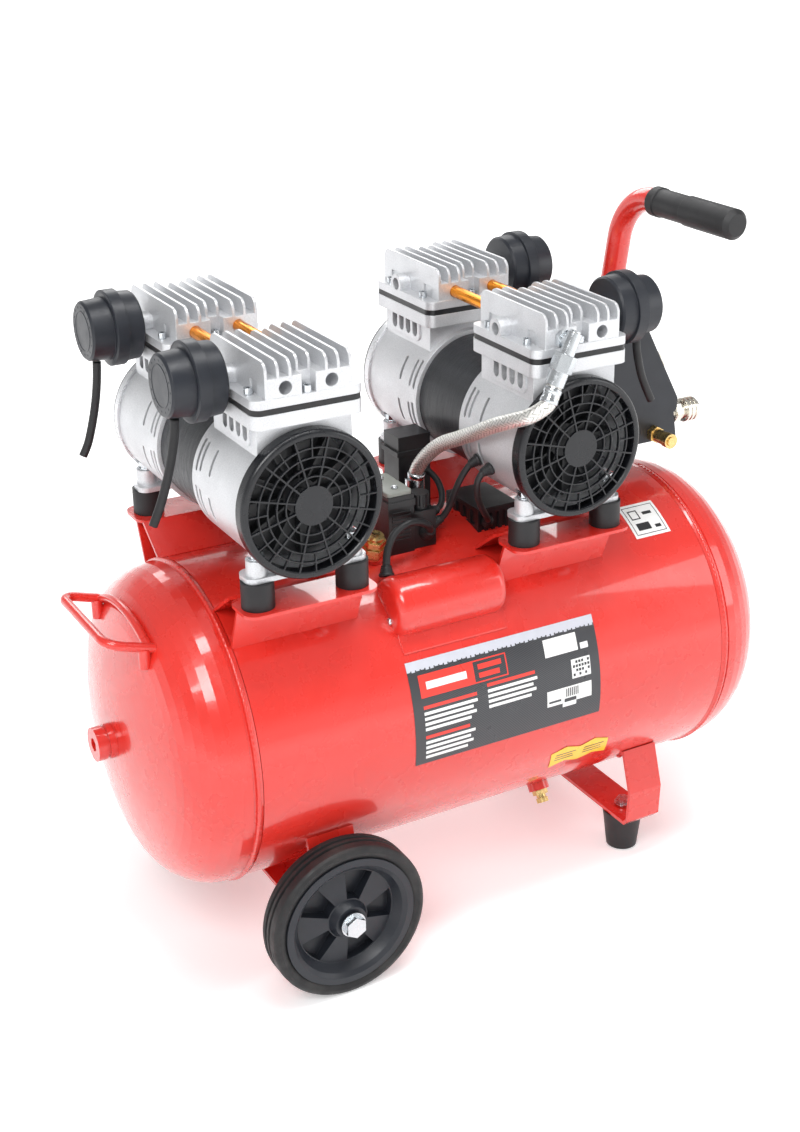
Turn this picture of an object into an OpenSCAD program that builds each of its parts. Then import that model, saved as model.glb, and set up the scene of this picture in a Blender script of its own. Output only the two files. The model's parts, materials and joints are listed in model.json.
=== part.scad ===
// Silent twin-motor, four-head air compressor on a horizontal wheeled tank.
// Frame: millimetres, +Z up, X along the tank, -Y the labelled front side.
// Origin: on the floor, under the centre of the overall outline.

/* [Tank] */
// Outside diameter of the tank
tank_d = 315; // [290:1:380]
// Straight length of the shell, seam to seam
shell_len = 518; // [500:1:640]
// Wall thickness of the shell and the dished heads
tank_wall = 2.5; // [2:0.1:4]
// Width of the weld seam between shell and head
seam_w = 10; // [6:1:12]
// Crown radius of the dished heads
crown_r = 380; // [330:1:420]
// Knuckle radius of the dished heads
knuckle_r = 60; // [40:1:65]
// Height of the tank's underside above the floor
ground_clear = 77.5; // [70:0.5:110]

/* [Wheels and feet] */
// Tyre outside diameter
wheel_d = 159; // [140:1:180]
// Width of the tyre
tyre_w = 32; // [26:1:36]
// Height of the tyre over the rim
tyre_t = 12.5; // [9:0.5:18]
// Radius of the axle bolt's shank
axle_r = 6; // [4:0.5:8]
// Running clearance of rim on axle bolt, radial
run_clear = 0.06; // [0.02:0.01:0.1]
// How far the wheels' outer faces stand out past the tank's side
wheel_out = 20.1; // [16:0.1:30]
// Distance from the tank's middle to the wheel axle
axle_x = 185; // [150:1:230]
// Distance from the tank's middle to the feet
foot_x = 187; // [150:1:230]
// Half distance between the front and rear feet
foot_y = 95; // [70:1:105]
// Height of the tapered rubber feet
foot_h = 44; // [30:1:50]
// Top radius of the rubber feet
foot_r = 21.5; // [16:0.5:24]
// Thickness of the bent steel straps
strap_t = 4; // [3:0.5:6]

/* [Motor units] */
// Middle of the left unit, from the tank's middle
unit_left_x = -197; // [-215:1:-190]
// Middle of the right unit, from the tank's middle
unit_right_x = 79; // [70:1:95]
// Outer radius of the cast motor housings
housing_r = 66; // [62:0.5:70]
// Wall of the cast housings
housing_wall = 4; // [3:0.5:6]
// Half length of the black motor stator
stator_half = 42; // [36:1:50]
// How far the stator's face sits in from the housings' outside
stator_step = 4; // [1:0.5:8]
// Radius of the stator bore
stator_bore_r = 34; // [28:0.5:38]
// Radial air gap between rotor and stator
air_gap = 0.5; // [0.3:0.1:1]
// Length of each cast housing, stator to fan cover
housing_len = 98; // [94:1:104]
// Radius of the motor shaft
shaft_r = 7.5; // [6:0.5:9]
// How far the fan cover stands out past the housing
cover_lip = 2; // [0.5:0.5:4]
// Depth of the fan cover
cover_d = 14; // [10:1:16]

/* [Cylinders and heads] */
// Distance from the motor's middle to each cylinder's axis
cyl_y = 95; // [92:1:98]
// Cylinder bore radius
bore_r = 31.5; // [28:0.5:33]
// Cylinder sleeve wall
sleeve_wall = 4; // [3:0.5:6]
// Crank throw, half of the stroke
throw = 8; // [5:0.5:9]
// Half width of the cylinder neck along the tank
neck_x = 45; // [42:0.5:47]
// Half width of the cylinder flange and head along the tank
head_x = 52; // [50:0.5:54]
// Half depth of the cylinder flange and head across the tank
head_y = 56; // [52:0.5:58]
// Height of the flange's underside above the motor axis
flange_z = 75; // [73:0.5:80]
// Thickness of the cylinder flange
flange_t = 12.5; // [10:0.5:16]
// Thickness of the black gasket and valve plate
gasket_t = 5.5; // [3:0.5:7]
// Height of a head without its fins
head_h = 25.5; // [22:0.5:30]
// Height of the cooling fins
fin_h = 14.5; // [10:0.5:20]
// Number of cooling fins on a head
fin_n = 8; // [6:2:10]
// Thickness of a fin
fin_t = 2.6; // [2:0.1:3.2]
// Height of the ports above the motor axis
port_z = 106; // [104:0.5:110]

/* [Mounts] */
// Height of the saddle plates above the top of the tank
saddle_h = 10; // [6:0.5:16]
// Height of a rubber mount
rubber_h = 25.4; // [20:0.1:32]
// Radius of a rubber mount
rubber_r = 15; // [12:0.5:17]
// Distance between a unit's mounts along the tank
mount_dx = 92.6; // [86:0.1:98]
// Half distance between a unit's front and rear mounts
mount_y = 129; // [126:0.5:131]

/* [Handle] */
// Height of the handle above the top of the tank
handle_rise = 284; // [250:1:330]
// Radius of the handle tube
handle_r = 12.5; // [10:0.5:14]
// Bend radius of the handle tube
handle_bend = 46; // [36:1:56]
// Lean of the handle away from the motors
handle_lean = 9; // [0:0.5:12]
// Length of the rubber grip
grip_len = 130; // [110:1:150]
// Outer radius of the rubber grip
grip_r = 15.2; // [14.8:0.1:18]

/* [Hidden] */
$fn = 48;

red = "#c81e1a";
cast = "#c9cccf";
slate = "#3a3d42";
black = "#1c1d1f";
zinc = "#c6c8c6";
brass = "#c9a24a";

tank_r = tank_d / 2;
tz = ground_clear + tank_r;
seam_gap = 0.3;
weld_gap = 0.1;
skirt_x = shell_len / 2 + seam_w;
dish_h = crown_r - sqrt(pow(crown_r - knuckle_r, 2) - pow(tank_r - knuckle_r, 2));
tank_end = skirt_x + dish_h;

loop_rod_r = 4.5;
loop_out = 39;
loop_half = 61;
loop_tilt = 17;
loop_ring_r = 133;

wheel_r = wheel_d / 2;
rim_r = wheel_r - tyre_t;
wheel_face = tank_r + wheel_out;
tyre_back = wheel_face - tyre_w;
bolt_head_h = 8;
bolt_face = wheel_face + 2 + bolt_head_h;
strap_w_wheel = 48;
strap_w_foot = 40;
strap_y = tyre_back - 6;

plate_z = tz + tank_r + saddle_h;
mz = plate_z + rubber_h + housing_r + 1.7;
housing_end = stator_half + housing_len;
cover_lap = 0.3;
gasket_z = flange_z + flange_t;
head_z = gasket_z + gasket_t;
body_top = head_z + head_h;
fin_x = 40.5;
port_off = 11;
port_dx = 21.5;
crank_r = 10;
piston_h = 12;
piston_mid = gasket_z - throw - 0.5 - piston_h;
filter_reach_left = 106;
filter_reach_right = 121;
filter_cap_r = 28;
filter_ring_r = 35.6;
filter_body_r = 33;

handle_y = 55;
handle_x = 225;
handle_z0 = tz + tank_r - 20;

// bosses and valves on the tank
end_boss_r = 17;
end_face = 17.5;
drain_x = 80;
drain_boss_h = 8;
drain_tilt = 146;
valve_xs = [-88, -13];
valve_tilts = [18, 0];

// saddle shelves
plate_t = 3;
shelf = [mount_dx + 38, 45];
web_len = mount_dx + 34;
lug_h = 20;

// motor units
stator_r = housing_r - stator_step;
cover_r = housing_r + cover_lip;
shaft_half = housing_end - 14;
fan_r = housing_r - housing_wall - 6;
vent_pitch = 13.8;
vent_y0 = -cyl_y + 17.5;
vent_z = 66;
slot_rows = [8, 16, 36];
grille_r = cover_r - 7;
hub_r = 18;
ring_pitch = (grille_r - hub_r) / 5;
ring_w = 1.3;

// soft drain tubes that hang from the filters; points are from the tank's axis
drip_r = 4;
drip_lf = [[-292, -84, 336], [-293, -84, 322], [-296, -84, 306], [-300, -84, 290],
           [-305, -84, 274], [-311, -84, 258], [-318, -84, 243]];
drip_lr = [[-292, 106, 336], [-293, 106, 322], [-295, 106, 306], [-298, 106, 290],
           [-302, 106, 274], [-307, 106, 258], [-313, 106, 246]];
drip_rf = [[189, -84, 336], [190, -84, 322], [193, -84, 308], [197, -84, 294],
           [203, -84, 280], [210, -84, 266]];

// fascia; its outline is measured from the handle's foot and the fascia's lower edge
handle_up = (tz + tank_r + handle_rise - handle_z0) / cos(handle_lean);
panel_y = -30;
panel_d = 42;
panel_wall = 3;
panel_z = tank_r + 39.5;
panel_pts = [for (p = [[-59, 0], [61, 0], [57, 27], [61, 33], [61, 43], [22, 118], [7, 145], [-59, 145]])
  [handle_x + p[0], panel_z + p[1]]];
slant = [panel_pts[4], panel_pts[5]];
slant_a = atan2(slant[1][1] - slant[0][1], slant[0][0] - slant[1][0]);
out_z = panel_z + 23;
out_y = -18;
gauge_r = 16;
gauge_up = 46;
valve_px = handle_x + 31;
valve_pz = panel_z + 9;
regulator_at = [handle_x + 41, panel_z + 43];
coupler_x = handle_x + 63;

// pressure switch
sw_lo = [-72, -54];
sw_size = [28, 54];
sw_top = tank_r + 50;
knob_at = [-31, -40];
block_half = 12;
block_top = tank_r + 29;

// hose and leads; points are from the tank's axis
hose_r = 7.3;
hose_pts = [[40, -164, 331], [32, -167, 317], [19, -160, 306], [11, -142, 297], [5, -118, 286],
            [1, -94, 273], [-2, -66, 259], [-5, -40, 246], [-9, -20, 230], [-12, -7, 214],
            [-13, -1, 200], [-13, 0, 190]];
lead_a = [[-30, -53.5, 164], [-30, -59, 167], [-36, -66, 177], [-48, -68, 184], [-62, -70, 185],
          [-76, -72, 178], [-86, -77, 166], [-91, -83, 154], [-93, -87, 146]];
lead_b = [[40, -51, 160], [38, -56, 163], [30, -66, 172], [18, -76, 188], [8, -84, 206],
          [5, -90, 222], [10, -92, 231], [17, -92, 233]];
lead_c = [[-18, -38, 178], [-12, -38, 178], [-3, -34, 181], [4, -24, 188], [7, -10, 196],
          [6, 4, 201], [4, 15, 203]];
lead_d = [[16, -72, 236], [9, -70, 232], [2, -66, 220], [-2, -60, 204], [-4, -54, 188],
          [-8, -50, 177], [-13, -47, 171], [-18, -46, 169]];

// capacitor cover
cover_a = 41;
cover_x = [-104, 14];
cover_wall = 2.5;

loop_left = loop_ring_x() + loop_out * cos(loop_tilt) + loop_rod_r;
x_shift = (loop_left - tank_end) / 2;

// the outline's left end is the lifting loop
function loop_ring_x() = dish_x(loop_ring_r) + loop_rod_r - 1;
function dish_x(r) = tank_end - (crown_r - sqrt(crown_r * crown_r - r * r));
function arc(cx, cy, r, a0, a1, n) =
  [for (i = [0:n]) let (a = a0 + (a1 - a0) * i / n) [cx + r * cos(a), cy + r * sin(a)]];
function dish_profile(t) =
  let (rk = knuckle_r - t, rc = crown_r - t, ck = tank_r - knuckle_r,
       h1 = crown_r - dish_h, a = atan2(h1, ck))
  concat(arc(ck, skirt_x, rk, 0, a, 8), arc(0, skirt_x - h1, rc, a, 90, 14));
function seg_n(a, b) = let (d = b - a, l = norm(d)) [-d[1] / l, d[0] / l];
function off_pt(p, i, t) =
  i == 0 ? p[0] + t * seg_n(p[0], p[1]) :
  i == len(p) - 1 ? p[i] + t * seg_n(p[i - 1], p[i]) :
  let (n1 = seg_n(p[i - 1], p[i]), n2 = seg_n(p[i], p[i + 1]))
  p[i] + (n1 + n2) * (t / (1 + n1 * n2));
function strip(p, t) = concat(p, [for (i = [len(p) - 1:-1:0]) off_pt(p, i, t)]);

// sweep of a round section along a route, as one closed polyhedron
function unit(v) = v / norm(v);
function tangent(p, i) =
  unit(p[min(i + 1, len(p) - 1)] - p[max(i - 1, 0)]);
function side_of(t) = unit(cross(t, abs(t[1]) < 0.9 ? [0, 1, 0] : [1, 0, 0]));
function carry(a, t) = unit(a - (a * t) * t);
function carried(p) =
  [for (i = 0, a = side_of(tangent(p, 0)); i < len(p);
        i = i + 1, a = carry(a, tangent(p, min(i, len(p) - 1)))) a];
function ring(c, t, a, r, n) =
  let (b = cross(t, a)) [for (k = [0:n - 1]) c + r * (a * cos(360 * k / n) + b * sin(360 * k / n))];
function cr(a, b, c, d, t) =
  0.5 * (2 * b + (c - a) * t + (2 * a - 5 * b + 4 * c - d) * t * t
         + (3 * b - a - 3 * c + d) * t * t * t);
function smooth(p, m) =
  concat([for (i = [0:len(p) - 2], j = [0:m - 1])
    cr(p[max(i - 1, 0)], p[i], p[i + 1], p[min(i + 2, len(p) - 1)], j / m)],
    [p[len(p) - 1]]);
module sweep(p, r, n) {
  m = len(p);
  sides_at = carried(p);
  pts = [for (i = [0:m - 1]) each ring(p[i], tangent(p, i), sides_at[i], r, n)];
  sides = [for (i = [0:m - 2], k = [0:n - 1]) let (q = (k + 1) % n)
    [i * n + k, i * n + q, (i + 1) * n + q, (i + 1) * n + k]];
  polyhedron(pts, concat(sides, [[for (k = [n - 1:-1:0]) k]],
    [[for (k = [0:n - 1]) (m - 1) * n + k]]));
}

// placement helpers
module shift() translate([x_shift, 0, 0]) children();
module on_axis() shift() translate([0, 0, tz]) children();
module along_x() rotate([0, 90, 0]) children();
module along_y() rotate([-90, 0, 0]) children();
module tube(r1, r2, h) {
  difference() {
    cylinder(r = r1, h = h);
    translate([0, 0, -1]) cylinder(r = r2, h = h + 2);
  }
}
module hex(r, h) rotate([0, 0, 30]) cylinder(r = r, h = h, $fn = 6);
module slot2d(l, w) {
  square([l - w, w], center = true);
  for (s = [-1, 1]) translate([s * (l - w) / 2, 0]) circle(d = w);
}
module round_rect(x, y, r) {
  square([x - 2 * r, y], center = true);
  square([x, y - 2 * r], center = true);
  for (i = [-1, 1], j = [-1, 1]) translate([i * (x / 2 - r), j * (y / 2 - r)]) circle(r);
}
module units(left = true, right = true) {
  shift() translate([0, 0, mz]) {
    if (left) translate([unit_left_x, 0, 0]) children();
    if (right) translate([unit_right_x, 0, 0]) children();
  }
}
module both_ends() {
  children();
  mirror([0, 1, 0]) children();
}
// a child placed on the front or rear head's own middle
module at_head(front) translate([0, front ? -cyl_y : cyl_y, 0]) children();

// solid body of the whole tank, used to fit what is welded on
module tank_solid(g) {
  along_x() {
    translate([0, 0, -shell_len / 2 - 15]) cylinder(r = tank_r + g, h = shell_len + 30, $fn = 96);
    for (s = [0, 1]) mirror([0, 0, s]) rotate_extrude($fn = 96)
      polygon(concat([[0, 0], [tank_r + g, 0]], dish_profile(-g)));
  }
}

module tank_shell() {
  color(red) on_axis() difference() {
    along_x() translate([0, 0, -shell_len / 2])
      tube(tank_r, tank_r - tank_wall, shell_len, $fn = 96);
    translate([drain_x, 0, 0]) drain_pose() translate([0, 0, tank_r - 12]) cylinder(r = 8, h = 24);
    at_valves() translate([0, 0, tank_r - 20]) cylinder(r = 6, h = 40);
  }
}

// dished head with a joggled spigot that slides inside the shell
module dished_head() {
  spigot_r = tank_r - tank_wall - seam_gap;
  rotate_extrude($fn = 96) polygon(concat(
    [[tank_r, skirt_x - 0.01]], dish_profile(0), [[0, tank_end - tank_wall]],
    [for (i = [len(dish_profile(tank_wall)) - 2:-1:0]) dish_profile(tank_wall)[i]],
    [[tank_r - 2 * tank_wall - seam_gap, skirt_x - 2],
     [tank_r - 2 * tank_wall - seam_gap, skirt_x - seam_w - 18],
     [spigot_r, skirt_x - seam_w - 18], [spigot_r, shell_len / 2 + 0.6],
     [tank_r - 0.2, shell_len / 2 + 0.6], [tank_r + 0.9, shell_len / 2 + 3],
     [tank_r + 0.9, skirt_x - 3.4], [tank_r - 1, skirt_x - 2.4], [tank_r - 1, skirt_x - 0.6]]));
}
module tank_head_left() {
  color(red) on_axis() rotate([0, -90, 0]) difference() {
    dished_head();
    translate([0, 0, tank_end - 30]) cylinder(r = 10.5, h = 60);
  }
}
module tank_head_right() {
  color(red) on_axis() along_x() dished_head();
}

module drain_pose() rotate([drain_tilt, 0, 0]) children();
module port_bosses() {
  color(red) on_axis() {
    rotate([0, -90, 0]) difference() {
      translate([0, 0, tank_end - 6]) cylinder(r = end_boss_r, h = 12);
      translate([0, 0, tank_end - 20]) cylinder(r = 10.5, h = 40);
      rotate([0, 90, 0]) tank_solid(weld_gap);
    }
    difference() {
      translate([drain_x, 0, 0]) drain_pose() translate([0, 0, tank_r - 4])
        cylinder(r = 11, h = 4 + drain_boss_h);
      translate([drain_x, 0, 0]) drain_pose() translate([0, 0, tank_r - 9]) cylinder(r = 6, h = 40);
      tank_solid(weld_gap);
    }
    difference() {
      at_valves() translate([0, 0, tank_r - 4]) cylinder(r = 13, h = 8);
      at_valves() translate([0, 0, tank_r - 9]) cylinder(r = 6, h = 40);
      tank_solid(weld_gap);
    }
  }
}
module at_valves() {
  for (i = [0, 1]) translate([valve_xs[i], 0, 0]) rotate([valve_tilts[i], 0, 0]) children();
}

module end_plug() {
  color(red) on_axis() rotate([0, -90, 0]) translate([0, 0, tank_end + 6.1]) difference() {
    union() {
      translate([0, 0, -20]) cylinder(r = 10.4, h = 20.5);
      cylinder(r = 15, h = 2.6);
      translate([0, 0, 2.5]) cylinder(r = 16.5, h = end_face - 8.6);
    }
    translate([0, 0, 3]) cylinder(r = 7, h = 30, $fn = 6);
  }
}

module drain_valve() {
  color(brass) on_axis() translate([drain_x, 0, 0]) drain_pose()
    translate([0, 0, tank_r + drain_boss_h + 0.1]) difference() {
      union() {
        translate([0, 0, -14]) cylinder(r = 5.9, h = 14.5);
        hex(8, 5);
        translate([0, 0, 4.9]) cylinder(r = 5, h = 3.1);
      }
      translate([0, 0, -15]) cylinder(r = 2.5, h = 40);
    }
}
module drain_knob() {
  color(brass) on_axis() translate([drain_x, 0, 0]) drain_pose()
    translate([0, 0, tank_r + drain_boss_h + 8.4]) difference() {
      union() {
        cylinder(r = 5.6, h = 5);
        for (a = [0:45:315]) rotate([0, 0, a]) translate([5.2, 0, 0]) cylinder(r = 1.2, h = 5);
        translate([0, 0, -10]) cylinder(r = 2.5 - run_clear, h = 10.1);
      }
      translate([0, 0, 2.5]) cylinder(r = 1.6, h = 10);
    }
}

// bent rod handle on the left head, with a rod that follows the head behind it
module lift_loop() {
  rb = 15;
  ang = asin(loop_half / loop_ring_r);
  color(red) on_axis() difference() {
    union() {
      translate([-loop_ring_x(), 0, loop_ring_r * cos(ang)]) rotate([0, -loop_tilt, 180]) {
        for (s = [-1, 1]) {
          translate([-8, s * loop_half, 0]) along_x()
            cylinder(r = loop_rod_r, h = loop_out - rb + 8);
          translate([loop_out - rb, s * (loop_half - rb), 0]) rotate([0, 0, s > 0 ? 0 : -90])
            rotate_extrude(angle = 90) translate([rb, 0]) circle(loop_rod_r);
        }
        translate([loop_out, -loop_half + rb, 0]) along_y()
          cylinder(r = loop_rod_r, h = 2 * (loop_half - rb));
      }
      translate([-loop_ring_x() + 1, 0, 0]) rotate([90 - ang, 0, 0]) rotate([0, 90, 0])
        rotate([0, 0, 90]) rotate_extrude(angle = 2 * ang, $fn = 96) translate([loop_ring_r, 0])
        circle(loop_rod_r - 0.5);
      for (s = [-1, 1]) translate([-loop_ring_x() - 3, s * loop_half, loop_ring_r * cos(ang) - 19])
        cylinder(r = 5.5, h = 19);
    }
    tank_solid(weld_gap);
  }
}

// U-shaped strap under the tank: weld line, leg, cross plate, leg
module strap(pts, w, x) {
  color(red) shift() difference() {
    translate([x - w / 2, 0, 0]) rotate([90, 0, 90]) linear_extrude(w)
      polygon(strip(concat(pts, [for (i = [len(pts) - 1:-1:0]) [-pts[i][0], pts[i][1]]]), -strap_t));
    translate([0, 0, tz]) tank_solid(weld_gap);
    children();
  }
}
function rim_pt(a, g) = [-(tank_r + g) * sin(a), tz - (tank_r + g) * cos(a)];
module wheel_bracket() {
  y = strap_y - strap_t;
  strap([rim_pt(56, -1), rim_pt(58.5, 0), [-y, rim_pt(60, 3)[1] - 8],
         [-y, wheel_r - 12], [-y + 5, wheel_r - 16]], strap_w_wheel, -axle_x)
    translate([-axle_x, 0, wheel_r]) along_y() translate([0, 0, -300])
      cylinder(r = axle_r + 0.2, h = 600);
}
module foot_bracket() {
  z = foot_h + strap_t + 0.1;
  strap([rim_pt(43, -1), rim_pt(47, 3), [-130, tz - 149], [-128, z + 5], [-123, z]],
        strap_w_foot, foot_x)
    for (s = [-1, 1]) translate([foot_x, s * foot_y, 0]) cylinder(r = 4.2, h = 100);
}

// axle: flanged hex bolt, spacer sleeve, inner nut
module axle_bolts() {
  color(zinc) shift() both_ends() translate([-axle_x, -bolt_face, wheel_r]) along_y() {
    hex(10.8, bolt_head_h);
    translate([0, 0, bolt_head_h - 1.6]) cylinder(r = 12.5, h = 1.6);
    cylinder(r = axle_r, h = bolt_face - strap_y + strap_t + 12);
    translate([0, 0, bolt_face - tyre_back + 0.4])
      tube(9, axle_r - 0.5, tyre_back - strap_y - 0.6);
    translate([0, 0, bolt_face - strap_y + strap_t + 0.1]) hex(10.8, 9);
  }
}

module tyre() {
  c = tyre_w / 2;
  color(black) rotate_extrude($fn = 96) polygon(concat(
    [[rim_r, -c + 3], [rim_r, c - 3]],
    arc(wheel_r - 6.5, c - 6.5, 6.5, 90, 20, 5),
    [for (i = [0:1]) each [[wheel_r, c - 8.5 - 7 * i], [wheel_r, c - 12 - 7 * i],
      [wheel_r - 2.5, c - 12.8 - 7 * i], [wheel_r - 2.5, c - 14.7 - 7 * i]]],
    [[wheel_r, c - 22.5], [wheel_r, c - 25.5]],
    arc(wheel_r - 6.5, -c + 6.5, 6.5, -10, -90, 5)));
}
module rim() {
  c = tyre_w / 2;
  color(slate) difference() {
    rotate_extrude($fn = 96) polygon([[axle_r + run_clear, -c - 0.2], [17, -c - 0.2], [18, -c + 10],
      [rim_r - 21, -c + 6], [rim_r - 8, -c + 2], [rim_r - 0.2, -c + 1], [rim_r - 0.2, c - 1],
      [rim_r - 7, c - 0.5], [rim_r - 11, c - 4], [rim_r - 17, c - 13], [20, c - 9], [16, c - 1],
      [axle_r + run_clear, c - 1]]);
    for (k = [0:4]) rotate([0, 0, 72 * k]) translate([0, 0, -c + 10.5]) linear_extrude(40)
      intersection() {
        difference() {
          circle(rim_r - 18, $fn = 64);
          circle(21);
        }
        polygon([[0, 0], [80 * cos(18), -80 * sin(18)], [90, 0], [80 * cos(18), 80 * sin(18)]]);
      }
  }
}
module at_wheel(front) {
  shift() translate([-axle_x, (front ? -1 : 1) * (wheel_face - tyre_w / 2), wheel_r])
    rotate([front ? 90 : -90, 0, 0]) children();
}
module tyre_front() at_wheel(true) tyre();
module tyre_rear() at_wheel(false) tyre();
module rim_front() at_wheel(true) rim();
module rim_rear() at_wheel(false) rim();

module rubber_feet() {
  color(black) shift() for (s = [-1, 1]) translate([foot_x, s * foot_y, 0]) difference() {
    rotate_extrude() polygon([[0, 0], [13, 0], [16.5, 1.5], [foot_r - 1, foot_h - 8],
      [foot_r, foot_h - 2], [foot_r, foot_h], [0, foot_h]]);
    translate([0, 0, foot_h - 22]) cylinder(r = 4.2, h = 40);
  }
}

// saddle plates, a front and a rear one under each unit: a flat shelf on two webs
function on_tank(y) = [y, sqrt(pow(tank_r - 1, 2) - y * y)];
module saddle() {
  z = tank_r + saddle_h;
  shelf_y = mount_y + 21 - shelf[1] / 2;
  translate([0, -shelf_y, z - plate_t]) linear_extrude(plate_t) round_rect(shelf[0], shelf[1], 12);
  translate([-web_len / 2, 0, 0]) rotate([90, 0, 90]) linear_extrude(web_len) {
    polygon(strip([[-mount_y + 9, z - 1], on_tank(-101)], -plate_t));
    polygon(strip([on_tank(-68), [-mount_y + 26, z - 1.2]], -plate_t));
  }
}
module saddle_plates() {
  color(red) shift() difference() {
    translate([0, 0, tz]) for (x = [unit_left_x, unit_right_x]) both_ends()
      translate([x, 0, 0]) saddle();
    translate([0, 0, tz]) tank_solid(weld_gap);
    mount_spots() translate([0, 0, -20]) cylinder(r = 4.2, h = 40);
  }
}
module mount_spots() {
  for (x = [unit_left_x, unit_right_x], i = [-1, 1], s = [-1, 1])
    translate([x + i * mount_dx / 2, s * mount_y, plate_z]) children();
}
module rubber_mounts() {
  color(black) shift() mount_spots() translate([0, 0, 0.05]) difference() {
    cylinder(r = rubber_r, h = rubber_h - 0.1);
    translate([0, 0, -1]) cylinder(r = 4.2, h = rubber_h + 2);
  }
}
// studs and nuts through the rubber mounts, and the bolts that hold the feet
module zinc_bolts() {
  color(zinc) shift() {
    mount_spots() {
      translate([0, 0, -10]) cylinder(r = 4, h = rubber_h + lug_h + 10);
      translate([0, 0, -7.5]) hex(7, 4.3);
      translate([0, 0, rubber_h + lug_h + 0.1]) cylinder(r = 7.5, h = 1.5);
      translate([0, 0, rubber_h + lug_h + 1.5]) hex(6.8, 5.5);
    }
    for (s = [-1, 1]) translate([foot_x, s * foot_y, foot_h + strap_t + 1.7]) {
      cylinder(r = 9, h = 1.6);
      translate([0, 0, 1.5]) hex(7, 5);
      translate([0, 0, -25]) cylinder(r = 4, h = 26);
    }
  }
}

// ---- motor units ----
module stator() {
  color(black) along_y() translate([0, 0, -stator_half + 0.1]) difference() {
    cylinder(r = stator_r, h = 2 * stator_half - 0.2, $fn = 96);
    translate([0, 0, -1]) cylinder(r = stator_bore_r, h = 2 * stator_half + 2);
    for (a = [0:30:330]) rotate([0, 0, a]) translate([stator_bore_r + 2, -3, -1])
      cube([12, 6, 2 * stator_half + 2]);
  }
}
module stator_left() units(right = false) stator();
module stator_right() units(left = false) stator();

module rotor() {
  color(zinc) along_y() {
    translate([0, 0, -shaft_half]) cylinder(r = shaft_r, h = 2 * shaft_half);
    translate([0, 0, -stator_half + 4]) cylinder(r = stator_bore_r - air_gap, h = 2 * stator_half - 8);
    for (s = [-1, 1]) {
      translate([throw, 0, s * cyl_y - 7]) cylinder(r = crank_r, h = 14);
      translate([0, 0, s * (cyl_y - 14) - 3]) {
        intersection() {
          cylinder(r = 28, h = 6);
          translate([-40, -40, -1]) cube([40, 80, 8]);
        }
        cylinder(r = 12, h = 6);
      }
      translate([0, 0, s * (housing_end - 22) - 6]) {
        cylinder(r = 16, h = 12);
        translate([0, 0, s > 0 ? 0 : 10]) cylinder(r = fan_r + 1, h = 2);
        for (a = [0:30:330]) rotate([0, 0, a]) translate([14, -1, 0]) cube([fan_r - 14, 2, 12]);
      }
    }
  }
}
module rotor_left() units(right = false) rotor();
module rotor_right() units(left = false) rotor();

// one cast housing with its cylinder neck, flange and mounting feet, at the front
module vent_slots() {
  for (k = [0:3]) translate([-neck_x - 5, vent_y0 - vent_pitch * k, vent_z]) rotate([0, 90, 0])
    linear_extrude(18) slot2d(17, 9.4);
}
module vent_frame() {
  translate([-neck_x - 1.6, vent_y0 - 1.5 * vent_pitch, vent_z]) rotate([0, 90, 0])
    linear_extrude(4) round_rect(25, 3 * vent_pitch + 18, 6);
}
module housing_slots() {
  for (side = [-1, 1], tilt = [-15, 24], k = [0:2])
    rotate([0, tilt, 0]) translate([side * (housing_r - 9), -stator_half - slot_rows[k], 0])
      rotate([0, side * 90, 0]) linear_extrude(16) slot2d(31 - 3 * k, 4);
}
module housing() {
  y0 = -housing_end;
  foot_top = -housing_r - 1.7;
  color(cast) difference() {
    union() {
      translate([0, -stator_half, 0]) rotate([90, 0, 0])
        cylinder(r = housing_r, h = housing_len, $fn = 96);
      translate([-neck_x, -cyl_y - 44, 0]) cube([2 * neck_x, 90, flange_z + 0.1]);
      translate([0, -cyl_y, flange_z]) linear_extrude(flange_t)
        round_rect(2 * head_x, 2 * head_y, 9);
      translate([0, -housing_end + 0.5 + 13.5, foot_top]) linear_extrude(5)
        round_rect(mount_dx + 25, 27, 9);
      vent_frame();
      for (i = [-1, 1]) translate([i * mount_dx / 2, -mount_y, foot_top]) {
        cylinder(r = 9.5, h = lug_h);
        translate([i < 0 ? 0 : -20, -4, 0]) cube([20, 8, lug_h - 1]);
      }
    }
    translate([0, -stator_half + 1, 0]) rotate([90, 0, 0])
      cylinder(r = housing_r - housing_wall, h = housing_len + 2, $fn = 96);
    translate([-neck_x + 5, -cyl_y - 39, 20]) cube([2 * neck_x - 10, 80, flange_z - 20]);
    translate([0, -cyl_y, 10]) cylinder(r = bore_r + sleeve_wall + 0.1, h = 200);
    vent_slots();
    housing_slots();
    for (i = [-1, 1]) translate([i * mount_dx / 2, -mount_y, foot_top]) {
      translate([0, 0, -1]) cylinder(r = 4.2, h = 30);
      translate([0, 0, lug_h]) cylinder(r = 8.4, h = 10);
    }
    for (a = [200, 232]) rotate([0, a - 270, 0]) translate([0, -stator_half - 42, -housing_r - 5])
      cylinder(r = 4, h = 20);
  }
  // bearing plate between stator and crank
  color(cast) translate([0, -stator_half - 12, 0]) rotate([90, 0, 0]) difference() {
    union() {
      tube(housing_r - housing_wall + 0.5, 40, 4);
      tube(18, shaft_r + run_clear, 14);
      for (a = [30:60:330]) rotate([0, 0, a]) translate([16, -3, 0.5]) cube([26, 6, 3]);
    }
    translate([0, 0, -1]) cylinder(r = shaft_r + run_clear, h = 20);
  }
}
module housings_left() units(right = false) both_housings();
module housings_right() units(left = false) both_housings();
// the rear housing is the front one mirrored; the vents stay on the same side
module both_housings() {
  housing();
  mirror([0, 1, 0]) housing();
}

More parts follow.
